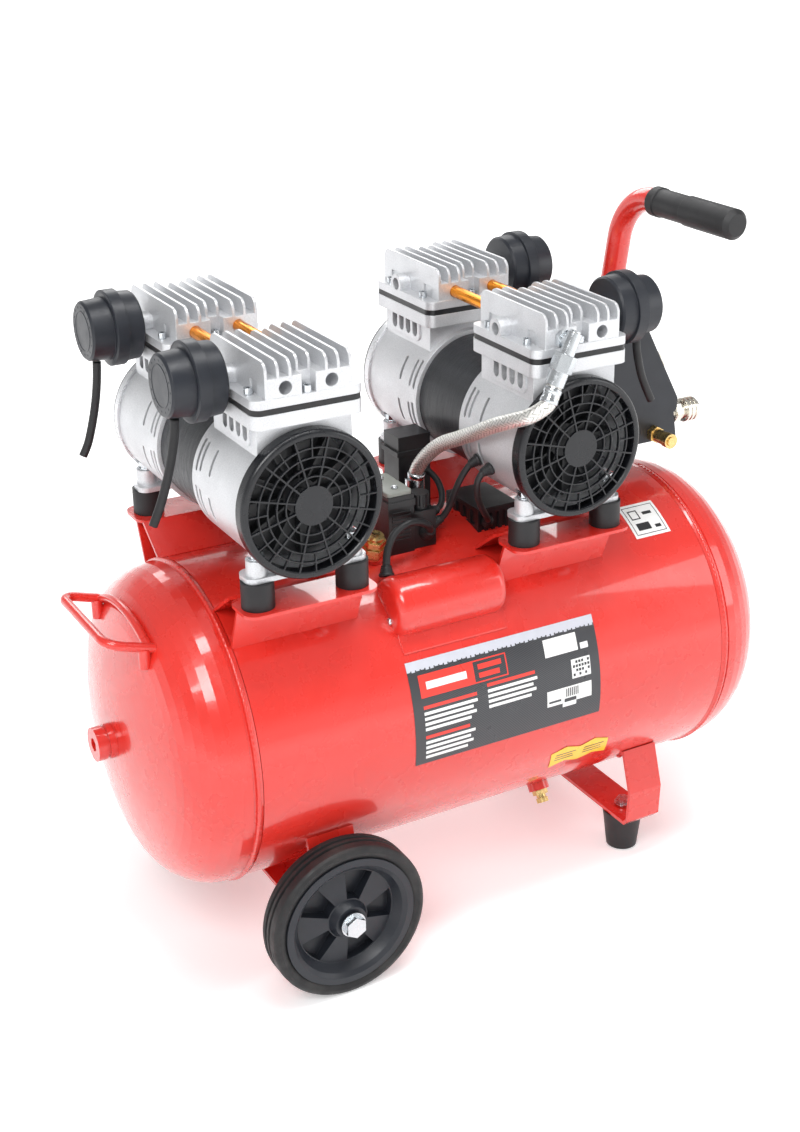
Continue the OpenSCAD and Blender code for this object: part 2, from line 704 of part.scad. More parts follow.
module fan_cover() {
  color(black) translate([0, -housing_end + cover_lap, 0]) rotate([90, 0, 0]) {
    translate([0, 0, cover_lap + 0.1]) rotate_extrude($fn = 96)
      polygon(concat([[grille_r, 0], [cover_r, 0]], arc(cover_r - 4, cover_d - 5, 4, 0, 90, 5),
        [[grille_r + 1, cover_d - 1], [grille_r, cover_d - 2]]));
    translate([0, 0, cover_d - 4]) linear_extrude(3) {
      circle(hub_r);
      for (k = [1:4]) difference() {
        circle(hub_r + ring_pitch * k + ring_w / 2, $fn = 96);
        circle(hub_r + ring_pitch * k - ring_w / 2, $fn = 96);
      }
      for (a = [0:30:330]) rotate(a + 15) translate([hub_r - 2, -0.8]) square([grille_r - hub_r + 2.5, 1.6]);
      for (a = [0:30:330]) rotate(a) translate([hub_r + 3 * ring_pitch - 0.5, -0.6])
        square([grille_r - hub_r - 3 * ring_pitch + 1, 1.2]);
    }
  }
}
module fan_covers_left() units(right = false) both_ends() fan_cover();
module fan_covers_right() units(left = false) both_ends() fan_cover();

module cylinder_sleeves() {
  color(cast) units() for (f = [true, false]) at_head(f)
    translate([0, 0, 60]) tube(bore_r + sleeve_wall, bore_r, gasket_z - 60 - 0.05, $fn = 96);
}
module valve_plates() {
  color(black) units() for (f = [true, false]) at_head(f)
    translate([0, 0, gasket_z + 0.02]) linear_extrude(gasket_t - 0.04)
    round_rect(2 * head_x - 1, 2 * head_y - 1, 9);
}

// finned head: base flange, body with ports, and a row of fins
module head() {
  pitch = (2 * fin_x - fin_t) / (fin_n - 1);
  yl = 2 * head_y;
  color(cast) translate([0, 0, head_z]) difference() {
    union() {
      linear_extrude(8) round_rect(2 * head_x, yl, 9);
      linear_extrude(head_h) square([2 * fin_x, yl - 1], center = true);
      for (k = [0:fin_n - 1]) {
        mid = abs(k - (fin_n - 1) / 2) < 1;
        l = yl - 1 - (mid ? 20 : 0);
        translate([-fin_x + k * pitch, 0, head_h - 0.1]) rotate([90, 0, 90]) linear_extrude(fin_t)
          polygon(concat([[-l / 2, 0], [l / 2, 0]], arc(l / 2 - 9, fin_h - 9, 9, 0, 90, 6),
            arc(-l / 2 + 9, fin_h - 9, 9, 90, 180, 6)));
      }
      for (s = [-1, 1]) translate([s * (fin_x - 1), port_off, port_z - head_z])
        rotate([0, s * 90, 0]) cylinder(r = 10, h = head_x - fin_x + 1);
    }
    for (i = [-1, 1], s = [-1, 1]) translate([i * port_dx, s * (head_y + 1), port_z + 3 - head_z])
      rotate([s * 90, 0, 0]) cylinder(r = 6, h = 22);
    for (s = [-1, 1]) translate([s * (head_x + 1), port_off, port_z - head_z])
      rotate([0, -s * 90, 0]) cylinder(r = 6, h = 40);
    for (s = [-1, 1]) translate([-6.5, s > 0 ? head_y - 11 : -head_y - 1, 8]) cube([13, 12, 40]);
    for (s = [-1, 1], j = [-1, 1]) translate([s * 46 - 7, j * 33 - 7, 8])
      cube([14, 14, 12]);
  }
}
module head_left_front() units(right = false) at_head(true) head();
module head_left_rear() units(right = false) at_head(false) head();
module head_right_front() units(left = false) at_head(true) head();
module head_right_rear() units(left = false) at_head(false) head();

// socket-head screws: six on each head
module head_screws() {
  color(zinc) units() for (f = [true, false]) at_head(f) translate([0, 0, head_z + 8.1]) {
    for (s = [-1, 1], j = [-1, 1]) translate([s * 45.5, j * 33, 0]) cap_screw(3.8);
    for (s = [-1, 1]) translate([0, s * (head_y - 5), 0]) cap_screw(4.2);
  }
}
module cap_screw(r) {
  difference() {
    cylinder(r = r, h = 6);
    translate([0, 0, 3]) cylinder(r = r * 0.5, h = 5, $fn = 6);
  }
}

module link_tubes() {
  l = 2 * (cyl_y - head_y);
  color("#d88a2a") units() for (i = [-1, 1])
    translate([i * port_dx, -l / 2 - 8, port_z + 3]) along_y()
      tube(5.9, 4.4, l + 16);
}

// piston with its rod; the big end is a yoke with room for the crank
module piston() {
  yh = crank_r + 2 * throw + 1.5;
  yw = crank_r + throw + 1.5;
  color(zinc) {
    translate([0, 0, piston_mid]) cylinder(r = bore_r - run_clear, h = piston_h);
    translate([-6, -5, yh + 2]) cube([12, 10, piston_mid - yh - 1.9]);
    rotate([90, 0, 0]) translate([0, 0, -5]) linear_extrude(10) difference() {
      round_rect(2 * yw + 10, 2 * yh + 10, 12);
      round_rect(2 * yw, 2 * yh, 9);
    }
  }
}
module piston_left_front() units(right = false) at_head(true) piston();
module piston_left_rear() units(right = false) at_head(false) piston();
module piston_right_front() units(left = false) at_head(true) piston();
module piston_right_rear() units(left = false) at_head(false) piston();

// intake filter and silencer on a side port, pointing away along -X
module filter(reach) {
  start = head_x + 0.2;
  color(slate) translate([0, port_off, port_z]) rotate([0, -90, 0]) rotate_extrude($fn = 72)
    polygon([[0, start], [9, start], [9, reach - 50], [filter_body_r - 3, reach - 50],
      [filter_body_r - 1, reach - 48], [filter_body_r, reach - 34], [filter_ring_r, reach - 33.5],
      [filter_ring_r, reach - 22], [filter_ring_r - 2.5, reach - 21],
      [filter_cap_r + 1.5, reach - 21], [filter_cap_r, reach - 2], [filter_cap_r - 2, reach],
      [0, reach]]);
}
module filters_left() {
  units(right = false) for (f = [true, false]) at_head(f) filter(filter_reach_left);
}
module filters_right() {
  units(left = false) for (f = [true, false]) at_head(f) scale([-1, 1, 1])
    filter(filter_reach_right);
}

// soft drain tubes that hang from the filters
module drip(p) color(black) on_axis() sweep(smooth(p, 2), drip_r, 8);
module drip_left_front() drip(drip_lf);
module drip_left_rear() drip(drip_lr);
module drip_right_front() drip(drip_rf);

// ---- handle, controls and piping ----
module in_handle() {
  shift() translate([handle_x, handle_y, handle_z0]) rotate([0, handle_lean, 0]) children();
}
module handle_tube() {
  color(red) difference() {
    in_handle() {
      cylinder(r = handle_r, h = handle_up - handle_bend);
      translate([0, -handle_bend, handle_up - handle_bend]) rotate([90, 0, 90])
        rotate_extrude(angle = 90) translate([handle_bend, 0]) circle(handle_r);
      translate([0, -handle_bend, handle_up]) rotate([90, 0, 0])
        cylinder(r = handle_r, h = grip_len - 8);
    }
    translate([0, 0, tz]) shift() tank_solid(weld_gap);
  }
}
module handle_grip() {
  color(black) in_handle() translate([0, -handle_bend - 4, handle_up]) rotate([90, 0, 0])
    rotate_extrude() polygon([[handle_r + 0.05, 0], [grip_r - 1.5, 0], [grip_r, 1.5],
      [grip_r, 11], [grip_r - 1, 12], [grip_r - 1, 55], [grip_r, 56], [grip_r, grip_len - 5],
      [grip_r - 4.5, grip_len], [0, grip_len], [0, grip_len - 4], [handle_r + 0.05, grip_len - 4]]);
}

// black fascia beside the right unit
module panel_solid(y0, y1, inset) {
  translate([0, y1, 0]) rotate([90, 0, 0]) linear_extrude(y1 - y0)
    offset(delta = -inset) polygon(panel_pts);
}
module control_panel() {
  back_y = panel_y + panel_d;
  color(slate) on_axis() difference() {
    panel_solid(panel_y, back_y, 0);
    panel_solid(panel_y + panel_wall, back_y - panel_wall, panel_wall);
    translate([coupler_x - 18, out_y, out_z]) along_x() cylinder(r = 7.5, h = 40);
    translate([valve_px, panel_y + 10, valve_pz]) rotate([90, 0, 0]) cylinder(r = 6.5, h = 30);
    on_slant(gauge_up) translate([0, 0, -12]) cylinder(r = gauge_r - 0.8, h = 40);
    translate([regulator_at[0], back_y - 10, regulator_at[1]]) rotate([-90, 0, 0])
      cylinder(r = 4.2, h = 40);
  }
  // stand-off that carries the fascia on the handle tube
  color(slate) on_axis() difference() {
    translate([handle_x + 11, back_y - 0.2, panel_z + 53]) rotate([-90, 0, 0])
      linear_extrude(handle_y - back_y) square([26, 40], center = true);
    translate([0, 0, -tz]) translate([handle_x, handle_y, handle_z0]) rotate([0, handle_lean, 0])
      cylinder(r = handle_r + 0.1, h = 400);
  }
}
// a frame on the slanted side face, a distance up from its lower corner
module on_slant(d) {
  translate([slant[0][0] - d * cos(slant_a), panel_y + panel_d / 2, slant[0][1] + d * sin(slant_a)])
    rotate([0, slant_a, 0]) children();
}
module pressure_gauge() {
  color(zinc) on_axis() on_slant(gauge_up) {
    translate([0, 0, -9]) cylinder(r = gauge_r - 1, h = 9.4);
    translate([0, 0, 0.2]) cylinder(r = gauge_r + 1.5, h = 1.2);
  }
}
module regulator_knob() {
  color(black) on_axis() translate([regulator_at[0], panel_y + panel_d, regulator_at[1]])
    rotate([-90, 0, 0]) {
      translate([0, 0, -8]) cylinder(r = 4.2 - run_clear, h = 9);
      translate([0, 0, 0.5]) difference() {
        cylinder(r = 12, h = 16);
        for (a = [0:30:330]) rotate([0, 0, a]) translate([13, 0, -1]) cylinder(r = 2, h = 20);
      }
    }
}
module safety_valve() {
  color(brass) on_axis() translate([valve_px, panel_y - 0.2, valve_pz]) rotate([90, 0, 0]) {
    translate([0, 0, -8]) cylinder(r = 6.3, h = 8.2);
    hex(9, 7);
    translate([0, 0, 6.9]) cylinder(r = 7, h = 16);
    translate([0, 0, 22.8]) cylinder(r = 7.8, h = 8);
    translate([0, 0, 30.7]) cylinder(r = 5, h = 2);
  }
}
module coupler_body() {
  color("#d7d3c6") on_axis() translate([coupler_x, out_y, out_z]) along_x() difference() {
    union() {
      translate([0, 0, -14]) cylinder(r = 7.3, h = 15);
      translate([0, 0, 1]) hex(11, 7);
      translate([0, 0, 0]) cylinder(r = 9, h = 28);
      translate([0, 0, 27]) cylinder(r = 8, h = 5);
    }
    translate([0, 0, 8]) cylinder(r = 5.2, h = 40);
  }
}
module coupler_sleeve() {
  color("#cfcabb") on_axis() translate([coupler_x + 13, out_y, out_z]) along_x() difference() {
    union() {
      cylinder(r = 12, h = 15);
      for (z = [1, 6, 11]) translate([0, 0, z]) cylinder(r = 12.8, h = 2.5);
    }
    translate([0, 0, -1]) cylinder(r = 9 + run_clear, h = 30);
  }
}

// pressure switch between the units: body, lid and the knob's block in front of it
module pressure_switch() {
  color(black) on_axis() difference() {
    union() {
      translate([sw_lo[0], sw_lo[1], tank_r - 10]) cube([sw_size[0], sw_size[1], sw_top - tank_r + 10]);
      translate([sw_lo[0] - 1, sw_lo[1] - 1, sw_top - 12]) cube([sw_size[0] + 2, sw_size[1] + 2, 7]);
      translate([knob_at[0] - block_half - 2, knob_at[1] - block_half, tank_r - 10])
        cube([2 * block_half + 2, 2 * block_half, block_top - tank_r + 10]);
      for (k = [0:7]) translate([sw_lo[0] + 4, sw_lo[1] - 0.8, tank_r + 4 + 4 * k]) cube([20, 1, 2]);
    }
    tank_solid(weld_gap);
    translate([knob_at[0], knob_at[1], block_top - 12]) cylinder(r = 3, h = 30);
  }
  color("#8d918c") on_axis() translate([sw_lo[0] + 1.5, sw_lo[1] + 1.5, sw_top - 0.1])
    cube([sw_size[0] - 3, sw_size[1] - 3, 4]);
}
module switch_knob() {
  color(black) on_axis() translate([knob_at[0], knob_at[1], block_top + 0.4]) {
    translate([0, 0, -8]) cylinder(r = 3 - run_clear, h = 9);
    difference() {
      cylinder(r = 10, h = 15);
      for (a = [0:30:330]) rotate([0, 0, a]) translate([10.6, 0, 3]) cylinder(r = 1.4, h = 20);
    }
  }
}

// brass check valves on the tank, one under the hose
module check_valves() {
  color(brass) on_axis() {
    at_valves() translate([0, 0, tank_r + 4.1]) {
      translate([0, 0, -12]) cylinder(r = 5.9, h = 12.1);
      hex(12, 10);
      translate([0, 0, 9.9]) cylinder(r = 8.5, h = 12);
      translate([0, 0, 12]) hex(11, 6);
    }
    at_first_valve() translate([0, 0, tank_r + 22]) rotate([0, -60, 0]) cylinder(r = 5.5, h = 18);
    at_first_valve() translate([0, 0, tank_r + 22]) rotate([0, -60, 0])
      translate([0, 0, 12]) hex(8, 7);
  }
}
module at_first_valve() {
  translate([valve_xs[0], 0, 0]) rotate([valve_tilts[0], 0, 0]) children();
}

// braided hose from the right front head to the check valve
module air_hose() color(zinc) on_axis() sweep(smooth(hose_pts, 4), hose_r, 12);
module hose_fittings() {
  port = [unit_right_x - port_dx, -cyl_y - head_y, mz - tz + port_z + 3];
  color(zinc) on_axis() {
    // elbow screwed into the head's front port
    translate(port) rotate([90, 0, 0]) {
      translate([0, 0, -9]) cylinder(r = 5.8, h = 9.2);
      translate([0, 0, 0.1]) hex(9.5, 5);
      cylinder(r = 7, h = 13);
    }
    translate([port[0], port[1] - 13, port[2]]) rotate([0, 25, 0]) {
      translate([0, 0, -12]) cylinder(r = 7, h = 21);
      translate([0, 0, 8.9]) cylinder(r = 5, h = 2);
      translate([0, 0, -28]) hex(11, 16.1);
      translate([0, 0, -41.5]) cylinder(r = 9, h = 13.6);
    }
    translate([valve_xs[1], 0, tank_r + 26.2]) tube(9.6, hose_r + 0.1, 16);
  }
}

// relay box behind the switch, and a low timer box with slots in front
module control_boxes() {
  color(black) on_axis() difference() {
    union() {
      translate([-22, 16, tank_r - 6]) cube([36, 30, 86]);
      translate([-24, 14.5, tank_r + 60]) cube([40, 33, 5]);
      translate([30, -50, tank_r - 40]) cube([46, 62, 56]);
    }
    tank_solid(weld_gap);
    for (k = [0:3]) translate([29, -44 + 14 * k, tank_r - 2]) cube([3, 9, 14]);
    for (k = [0:4]) translate([34 + 8 * k, -51, tank_r - 8]) cube([4, 3, 18]);
  }
}

// leads clipped at both ends, between the switch, the boxes, the red cover and the right unit
module cables() {
  color(black) on_axis() {
    sweep(smooth(lead_a, 3), 3.8, 8);
    for (lead = [lead_b, lead_c, lead_d]) sweep(smooth(lead, 3), 3.2, 8);
  }
}

// rounded red cover over the run capacitors, on the tank's front shoulder
module capacitor_cover() {
  l = cover_x[1] - cover_x[0];
  color(red) on_axis() difference() {
    translate([cover_x[0], 0, 0]) rotate([cover_a, 0, 0]) translate([0, 0, tank_r - 8])
      along_x() difference() {
        linear_extrude(l) capacitor_outline(0);
        translate([0, 0, cover_wall]) linear_extrude(l - 2 * cover_wall)
          capacitor_outline(-cover_wall);
      }
    tank_solid(weld_gap);
  }
}
module capacitor_outline(g) {
  translate([-12, 0]) circle(29 + g, $fn = 64);
  translate([-12, -29 - g]) square([32, 58 + 2 * g]);
}

tank_shell();
tank_head_left();
tank_head_right();
port_bosses();
end_plug();
drain_valve();
drain_knob();
lift_loop();
wheel_bracket();
foot_bracket();
axle_bolts();
tyre_front();
tyre_rear();
rim_front();
rim_rear();
rubber_feet();
saddle_plates();
rubber_mounts();
zinc_bolts();
stator_left();
stator_right();
housings_left();
housings_right();
fan_covers_left();
fan_covers_right();
rotor_left();
rotor_right();
cylinder_sleeves();
valve_plates();
head_left_front();
head_left_rear();
head_right_front();
head_right_rear();
head_screws();
link_tubes();
piston_left_front();
piston_left_rear();
piston_right_front();
piston_right_rear();
filters_left();
filters_right();
drip_left_front();
drip_left_rear();
drip_right_front();
handle_tube();
handle_grip();
control_panel();
pressure_gauge();
regulator_knob();
safety_valve();
coupler_body();
coupler_sleeve();
pressure_switch();
switch_knob();
check_valves();
air_hose();
hose_fittings();
control_boxes();
cables();
capacitor_cover();
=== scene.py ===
"""A horizontal-tank air compressor with two twin-head motor units, dressed for rendering.

The CAD model is the fixed frame. This script gives every CAD node its material, and adds the pieces that
CAD leaves plain: weld beads, the braided hose, soft drain tubes, labels, dials and small hardware.
Distances are in metres, except that a point "from the tank" is in millimetres from the middle of its axis.
"""
import json
import math

import bmesh
import bpy
from mathutils import Matrix, Vector


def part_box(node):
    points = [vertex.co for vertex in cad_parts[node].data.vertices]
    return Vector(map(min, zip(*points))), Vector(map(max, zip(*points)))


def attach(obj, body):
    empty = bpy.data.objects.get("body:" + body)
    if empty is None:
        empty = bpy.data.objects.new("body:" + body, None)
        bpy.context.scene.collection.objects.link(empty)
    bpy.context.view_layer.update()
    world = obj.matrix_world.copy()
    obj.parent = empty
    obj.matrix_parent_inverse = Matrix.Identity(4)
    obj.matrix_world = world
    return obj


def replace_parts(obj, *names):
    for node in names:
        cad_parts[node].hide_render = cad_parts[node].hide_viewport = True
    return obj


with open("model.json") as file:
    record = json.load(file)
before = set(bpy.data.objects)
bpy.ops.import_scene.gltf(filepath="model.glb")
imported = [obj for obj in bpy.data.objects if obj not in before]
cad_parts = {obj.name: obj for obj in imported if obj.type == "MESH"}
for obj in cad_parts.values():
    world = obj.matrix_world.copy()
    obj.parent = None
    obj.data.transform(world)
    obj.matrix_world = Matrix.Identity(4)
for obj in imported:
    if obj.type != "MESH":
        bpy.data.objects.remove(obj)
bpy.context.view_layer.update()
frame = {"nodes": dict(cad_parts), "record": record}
MM = 0.001


# ---------------------------------------------------------------- places taken from the frame
def middle(node):
    lo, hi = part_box(node)
    return (Vector(lo) + Vector(hi)) / 2


tank = middle("tank_shell")
shell_lo, shell_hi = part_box("tank_shell")
TANK_R = (shell_hi[2] - shell_lo[2]) / 2


def from_tank(x, y, z):
    """A point given in millimetres from the middle of the tank's axis."""
    return tank + Vector((x, y, z)) * MM


# ---------------------------------------------------------------- camera
CAMERA_FROM_TANK = (-797.5, -1402.2, 818.1)
CAMERA_AZIMUTH, CAMERA_ELEVATION, CAMERA_ROLL = -30.03, 22.43, -0.35
SENSOR, LENS = 36.0, 55.4
SHIFT = (-0.0333, -0.0413)


def make_camera():
    data = bpy.data.cameras.new("camera")
    data.sensor_fit = "AUTO"
    data.sensor_width = SENSOR
    data.lens = LENS
    data.shift_x, data.shift_y = SHIFT
    camera = bpy.data.objects.new("camera", data)
    bpy.context.scene.collection.objects.link(camera)
    a, e = math.radians(CAMERA_AZIMUTH), math.radians(CAMERA_ELEVATION)
    back = Vector((math.sin(a) * math.cos(e), -math.cos(a) * math.cos(e), math.sin(e)))
    camera.rotation_mode = "QUATERNION"
    roll = Matrix.Rotation(math.radians(CAMERA_ROLL), 3, "Z").to_quaternion()
    camera.rotation_quaternion = (-back).to_track_quat("-Z", "Y") @ roll
    camera.location = from_tank(*CAMERA_FROM_TANK)
    bpy.context.scene.camera = camera


make_camera()
bpy.context.scene.view_settings.view_transform = "Standard"


# ---------------------------------------------------------------- material kit
class Nodes:
    """A node material with a principled shader, and short calls for the usual textures."""

    def __init__(self, name, color, rough, metal=0.0, coat=0.0, ior=None):
        self.material = bpy.data.materials.new(name)
        self.material.use_nodes = True
        self.tree = self.material.node_tree
        self.bsdf = self.tree.nodes["Principled BSDF"]
        self.bsdf.inputs["Base Color"].default_value = (*color, 1)
        self.bsdf.inputs["Roughness"].default_value = rough
        self.bsdf.inputs["Metallic"].default_value = metal
        self.bsdf.inputs["Coat Weight"].default_value = coat
        if ior:
            self.bsdf.inputs["IOR"].default_value = ior
        self.place = self.add("ShaderNodeTexCoord").outputs["Object"]
        self.normal = None

    def add(self, kind, **settings):
        node = self.tree.nodes.new(kind)
        for key, value in settings.items():
            setattr(node, key, value)
        return node

    def link(self, a, b):
        self.tree.links.new(a, b)

    def noise(self, scale, detail=3.0, rough=0.55, stretch=(1, 1, 1)):
        node = self.add("ShaderNodeTexNoise")
        node.inputs["Scale"].default_value = scale
        node.inputs["Detail"].default_value = detail
        node.inputs["Roughness"].default_value = rough
        self.link(self.stretched(stretch), node.inputs["Vector"])
        return node.outputs["Fac"]

    def cells(self, scale, feature="F1"):
        node = self.add("ShaderNodeTexVoronoi", feature=feature)
        node.inputs["Scale"].default_value = scale
        self.link(self.place, node.inputs["Vector"])
        return node.outputs["Distance"]

    def waves(self, scale, axis, profile="SIN", distortion=0.0):
        node = self.add("ShaderNodeTexWave", bands_direction=axis, wave_profile=profile)
        node.inputs["Scale"].default_value = scale
        node.inputs["Distortion"].default_value = distortion
        self.link(self.place, node.inputs["Vector"])
        return node.outputs["Fac"]

    def stretched(self, stretch):
        if tuple(stretch) == (1, 1, 1):
            return self.place
        node = self.add("ShaderNodeMapping")
        node.inputs["Scale"].default_value = stretch
        self.link(self.place, node.inputs["Vector"])
        return node.outputs["Vector"]

    def ramp(self, fac, low, high, start=0.3, end=0.7):
        """A value that goes from low to high as fac goes from start to end."""
        node = self.add("ShaderNodeMapRange")
        node.inputs["From Min"].default_value = start
        node.inputs["From Max"].default_value = end
        node.inputs["To Min"].default_value = low
        node.inputs["To Max"].default_value = high
        self.link(fac, node.inputs["Value"])
        return node.outputs["Result"]

    def mix(self, fac, a, b):
        """A colour between a and b; either may be a colour or another node's output."""
        node = self.add("ShaderNodeMix", data_type="RGBA")
        self.link(fac, node.inputs["Factor"])
        for value, socket in ((a, node.inputs[6]), (b, node.inputs[7])):
            if isinstance(value, tuple):
                socket.default_value = (*value, 1)
            else:
                self.link(value, socket)
        return node.outputs[2]

    def color(self, output):
        self.link(output, self.bsdf.inputs["Base Color"])

    def rough(self, fac, low, high, start=0.3, end=0.7):
        self.link(self.ramp(fac, low, high, start, end), self.bsdf.inputs["Roughness"])

    def round_edges(self, radius):
        node = self.add("ShaderNodeBevel", samples=4)
        node.inputs["Radius"].default_value = radius
        self.normal = node.outputs["Normal"]
        self.link(self.normal, self.bsdf.inputs["Normal"])

    def bump(self, fac, strength, distance=0.0005):
        node = self.add("ShaderNodeBump")
        node.inputs["Strength"].default_value = strength
        node.inputs["Distance"].default_value = distance
        self.link(fac, node.inputs["Height"])
        if self.normal:
            self.link(self.normal, node.inputs["Normal"])
        self.normal = node.outputs["Normal"]
        self.link(self.normal, self.bsdf.inputs["Normal"])


def red_paint():
    m = Nodes("red_paint", (0.67, 0.024, 0.016), 0.24, coat=0.8)
    m.bsdf.inputs["Coat Roughness"].default_value = 0.05
    m.color(m.mix(m.noise(7, 4), (0.62, 0.020, 0.013), (0.70, 0.030, 0.019)))
    m.rough(m.noise(30, 5), 0.2, 0.36)
    m.bump(m.noise(330, 2), 0.16, 0.0006)
    m.bump(m.noise(42, 2), 0.16, 0.0022)
    return m.material


def cast_alloy(name="cast_alloy", dark=(0.60, 0.61, 0.63), light=(0.80, 0.81, 0.83)):
    m = Nodes(name, light, 0.38, metal=0.55)
    m.round_edges(0.0011)
    tone = m.mix(m.noise(14, 5), dark, light)
    m.color(m.mix(m.ramp(m.noise(900, 2), 0, 0.35), tone, tuple(c * 0.6 for c in dark)))
    m.rough(m.noise(45, 5), 0.3, 0.48)
    m.bump(m.noise(1100, 3), 0.3, 0.0003)
    m.bump(m.cells(420), 0.1, 0.0003)
    return m.material


def moulded(name, color, rough, grain=900):
    m = Nodes(name, color, rough)
    m.round_edges(0.0008)
    light = tuple(min(1, c * 1.5 + 0.003) for c in color)
    m.color(m.mix(m.noise(60, 5), color, light))
    m.rough(m.noise(35, 5), rough - 0.07, rough + 0.1)
    m.bump(m.noise(grain, 3), 0.16, 0.0003)
    return m.material


def tyre_rubber():
    m = Nodes("tyre", (0.012, 0.012, 0.013), 0.5)
    m.color(m.mix(m.ramp(m.noise(40, 6), 0, 1, 0.45, 0.75), (0.009, 0.009, 0.010), (0.026, 0.025, 0.024)))
    m.rough(m.noise(90, 4), 0.45, 0.7)
    m.bump(m.noise(700, 3), 0.2, 0.0004)
    return m.material


BLACK_DARK, BLACK_LIGHT = (0.004, 0.0045, 0.006), (0.010, 0.011, 0.014)


def black_steel():
    m = Nodes("black_steel", (0.006, 0.0065, 0.008), 0.22)
    m.bsdf.inputs["Specular IOR Level"].default_value = 0.35
    m.round_edges(0.0007)
    m.color(m.mix(m.noise(50, 4), BLACK_DARK, BLACK_LIGHT))
    m.rough(m.noise(40, 5), 0.18, 0.32)
    m.bump(m.noise(500, 3), 0.1, 0.0003)
    return m.material


REAR_COVERS_FROM = 0.1
REAR_COLLAR_TO = 0.1482


def fan_cover_finish():
    """Black grilles all round; on the rear covers the collar behind the grille is bare metal."""
    m = Nodes("fan_cover", (0.006, 0.0065, 0.008), 0.24)
    m.round_edges(0.0007)
    split = m.add("ShaderNodeSeparateXYZ")
    m.link(m.place, split.inputs[0])
    behind = m.ramp(split.outputs["Y"], 0, 1, REAR_COVERS_FROM, REAR_COVERS_FROM + 0.001)
    collar = m.ramp(split.outputs["Y"], 1, 0, REAR_COLLAR_TO, REAR_COLLAR_TO + 0.0004)
    bare = m.add("ShaderNodeMath", operation="MULTIPLY")
    m.link(behind, bare.inputs[0])
    m.link(collar, bare.inputs[1])
    black = m.mix(m.noise(50, 4), BLACK_DARK, BLACK_LIGHT)
    m.color(m.mix(bare.outputs[0], black, (0.72, 0.73, 0.75)))
    m.link(m.ramp(bare.outputs[0], 0, 0.5, 0, 1), m.bsdf.inputs["Metallic"])
    m.rough(m.noise(40, 5), 0.2, 0.36)
    m.bump(m.noise(500, 3), 0.1, 0.0003)
    return m.material


def laminated():
    m = Nodes("laminations", (0.02, 0.021, 0.024), 0.38)
    m.color(m.mix(m.noise(130, 5, stretch=(1, 0.05, 1)), (0.008, 0.009, 0.011), (0.028, 0.030, 0.036)))
    m.rough(m.noise(60, 4, stretch=(1, 8, 1)), 0.28, 0.5)
    m.bump(m.waves(380, "Y"), 0.18, 0.0004)
    return m.material


def metal(name, low, high, rough, streak=(1, 1, 1), tint_scale=35):
    m = Nodes(name, high, rough, metal=1.0)
    m.round_edges(0.0005)
    m.color(m.mix(m.noise(tint_scale, 4), low, high))
    m.rough(m.noise(160, 4, stretch=streak), rough - 0.07, rough + 0.12)
    m.bump(m.noise(420, 3, stretch=streak), 0.08, 0.0002)
    return m.material


FANS_FROM = 0.1105


def rotor_metal():
    """Machined steel on the shaft and core, black plastic on the fans at the ends."""
    m = Nodes("rotor", (0.45, 0.45, 0.45), 0.35)
    split = m.add("ShaderNodeSeparateXYZ")
    m.link(m.place, split.inputs[0])
    size = m.add("ShaderNodeMath", operation="ABSOLUTE")
    m.link(split.outputs["Y"], size.inputs[0])
    fan = m.ramp(size.outputs[0], 0, 1, FANS_FROM, FANS_FROM + 0.0005)
    m.color(m.mix(fan, (0.42, 0.42, 0.43), (0.015, 0.016, 0.018)))
    m.link(m.ramp(fan, 1, 0, 0, 1), m.bsdf.inputs["Metallic"])
    m.rough(m.noise(80, 4), 0.3, 0.45)
    m.bump(m.noise(500, 3), 0.1, 0.0002)
    return m.material


def braid_metal():
    m = Nodes("braid", (0.75, 0.74, 0.7), 0.34, metal=0.85)
    height = m.add("ShaderNodeAttribute", attribute_name="weave").outputs["Fac"]
    # The colour runs from dark in the gaps between the strands to bright on their crowns. This is painted
    # shade in the braid's grooves.
    m.color(m.mix(m.ramp(height, 0, 1, 0.25, 0.85), (0.16, 0.16, 0.15), (0.86, 0.85, 0.81)))
    m.rough(m.noise(300, 3), 0.3, 0.42)
    m.bump(m.noise(1500, 2), 0.1, 0.0002)
    return m.material


def printed(name, color, rough=0.32):
    m = Nodes(name, color, rough, coat=0.25)
    light = tuple(min(1, c * 1.12 + 0.006) for c in color)
    m.color(m.mix(m.noise(120, 3), color, light))
    m.rough(m.noise(50, 4), rough - 0.06, rough + 0.08)
    m.bump(m.noise(500, 2), 0.04, 0.0002)
    return m.material


def woven_print():
    """Dark print with the fine diagonal weave that the big label carries."""
    m = Nodes("print_dark", (0.03, 0.031, 0.035), 0.3, coat=0.3)
    one = m.waves(240, "DIAGONAL")
    m.color(m.mix(m.ramp(one, 0, 1, 0.35, 0.65), (0.022, 0.023, 0.027), (0.050, 0.052, 0.058)))
    m.rough(m.noise(50, 4), 0.26, 0.4)
    m.bump(m.noise(500, 2), 0.04, 0.0002)
    return m.material


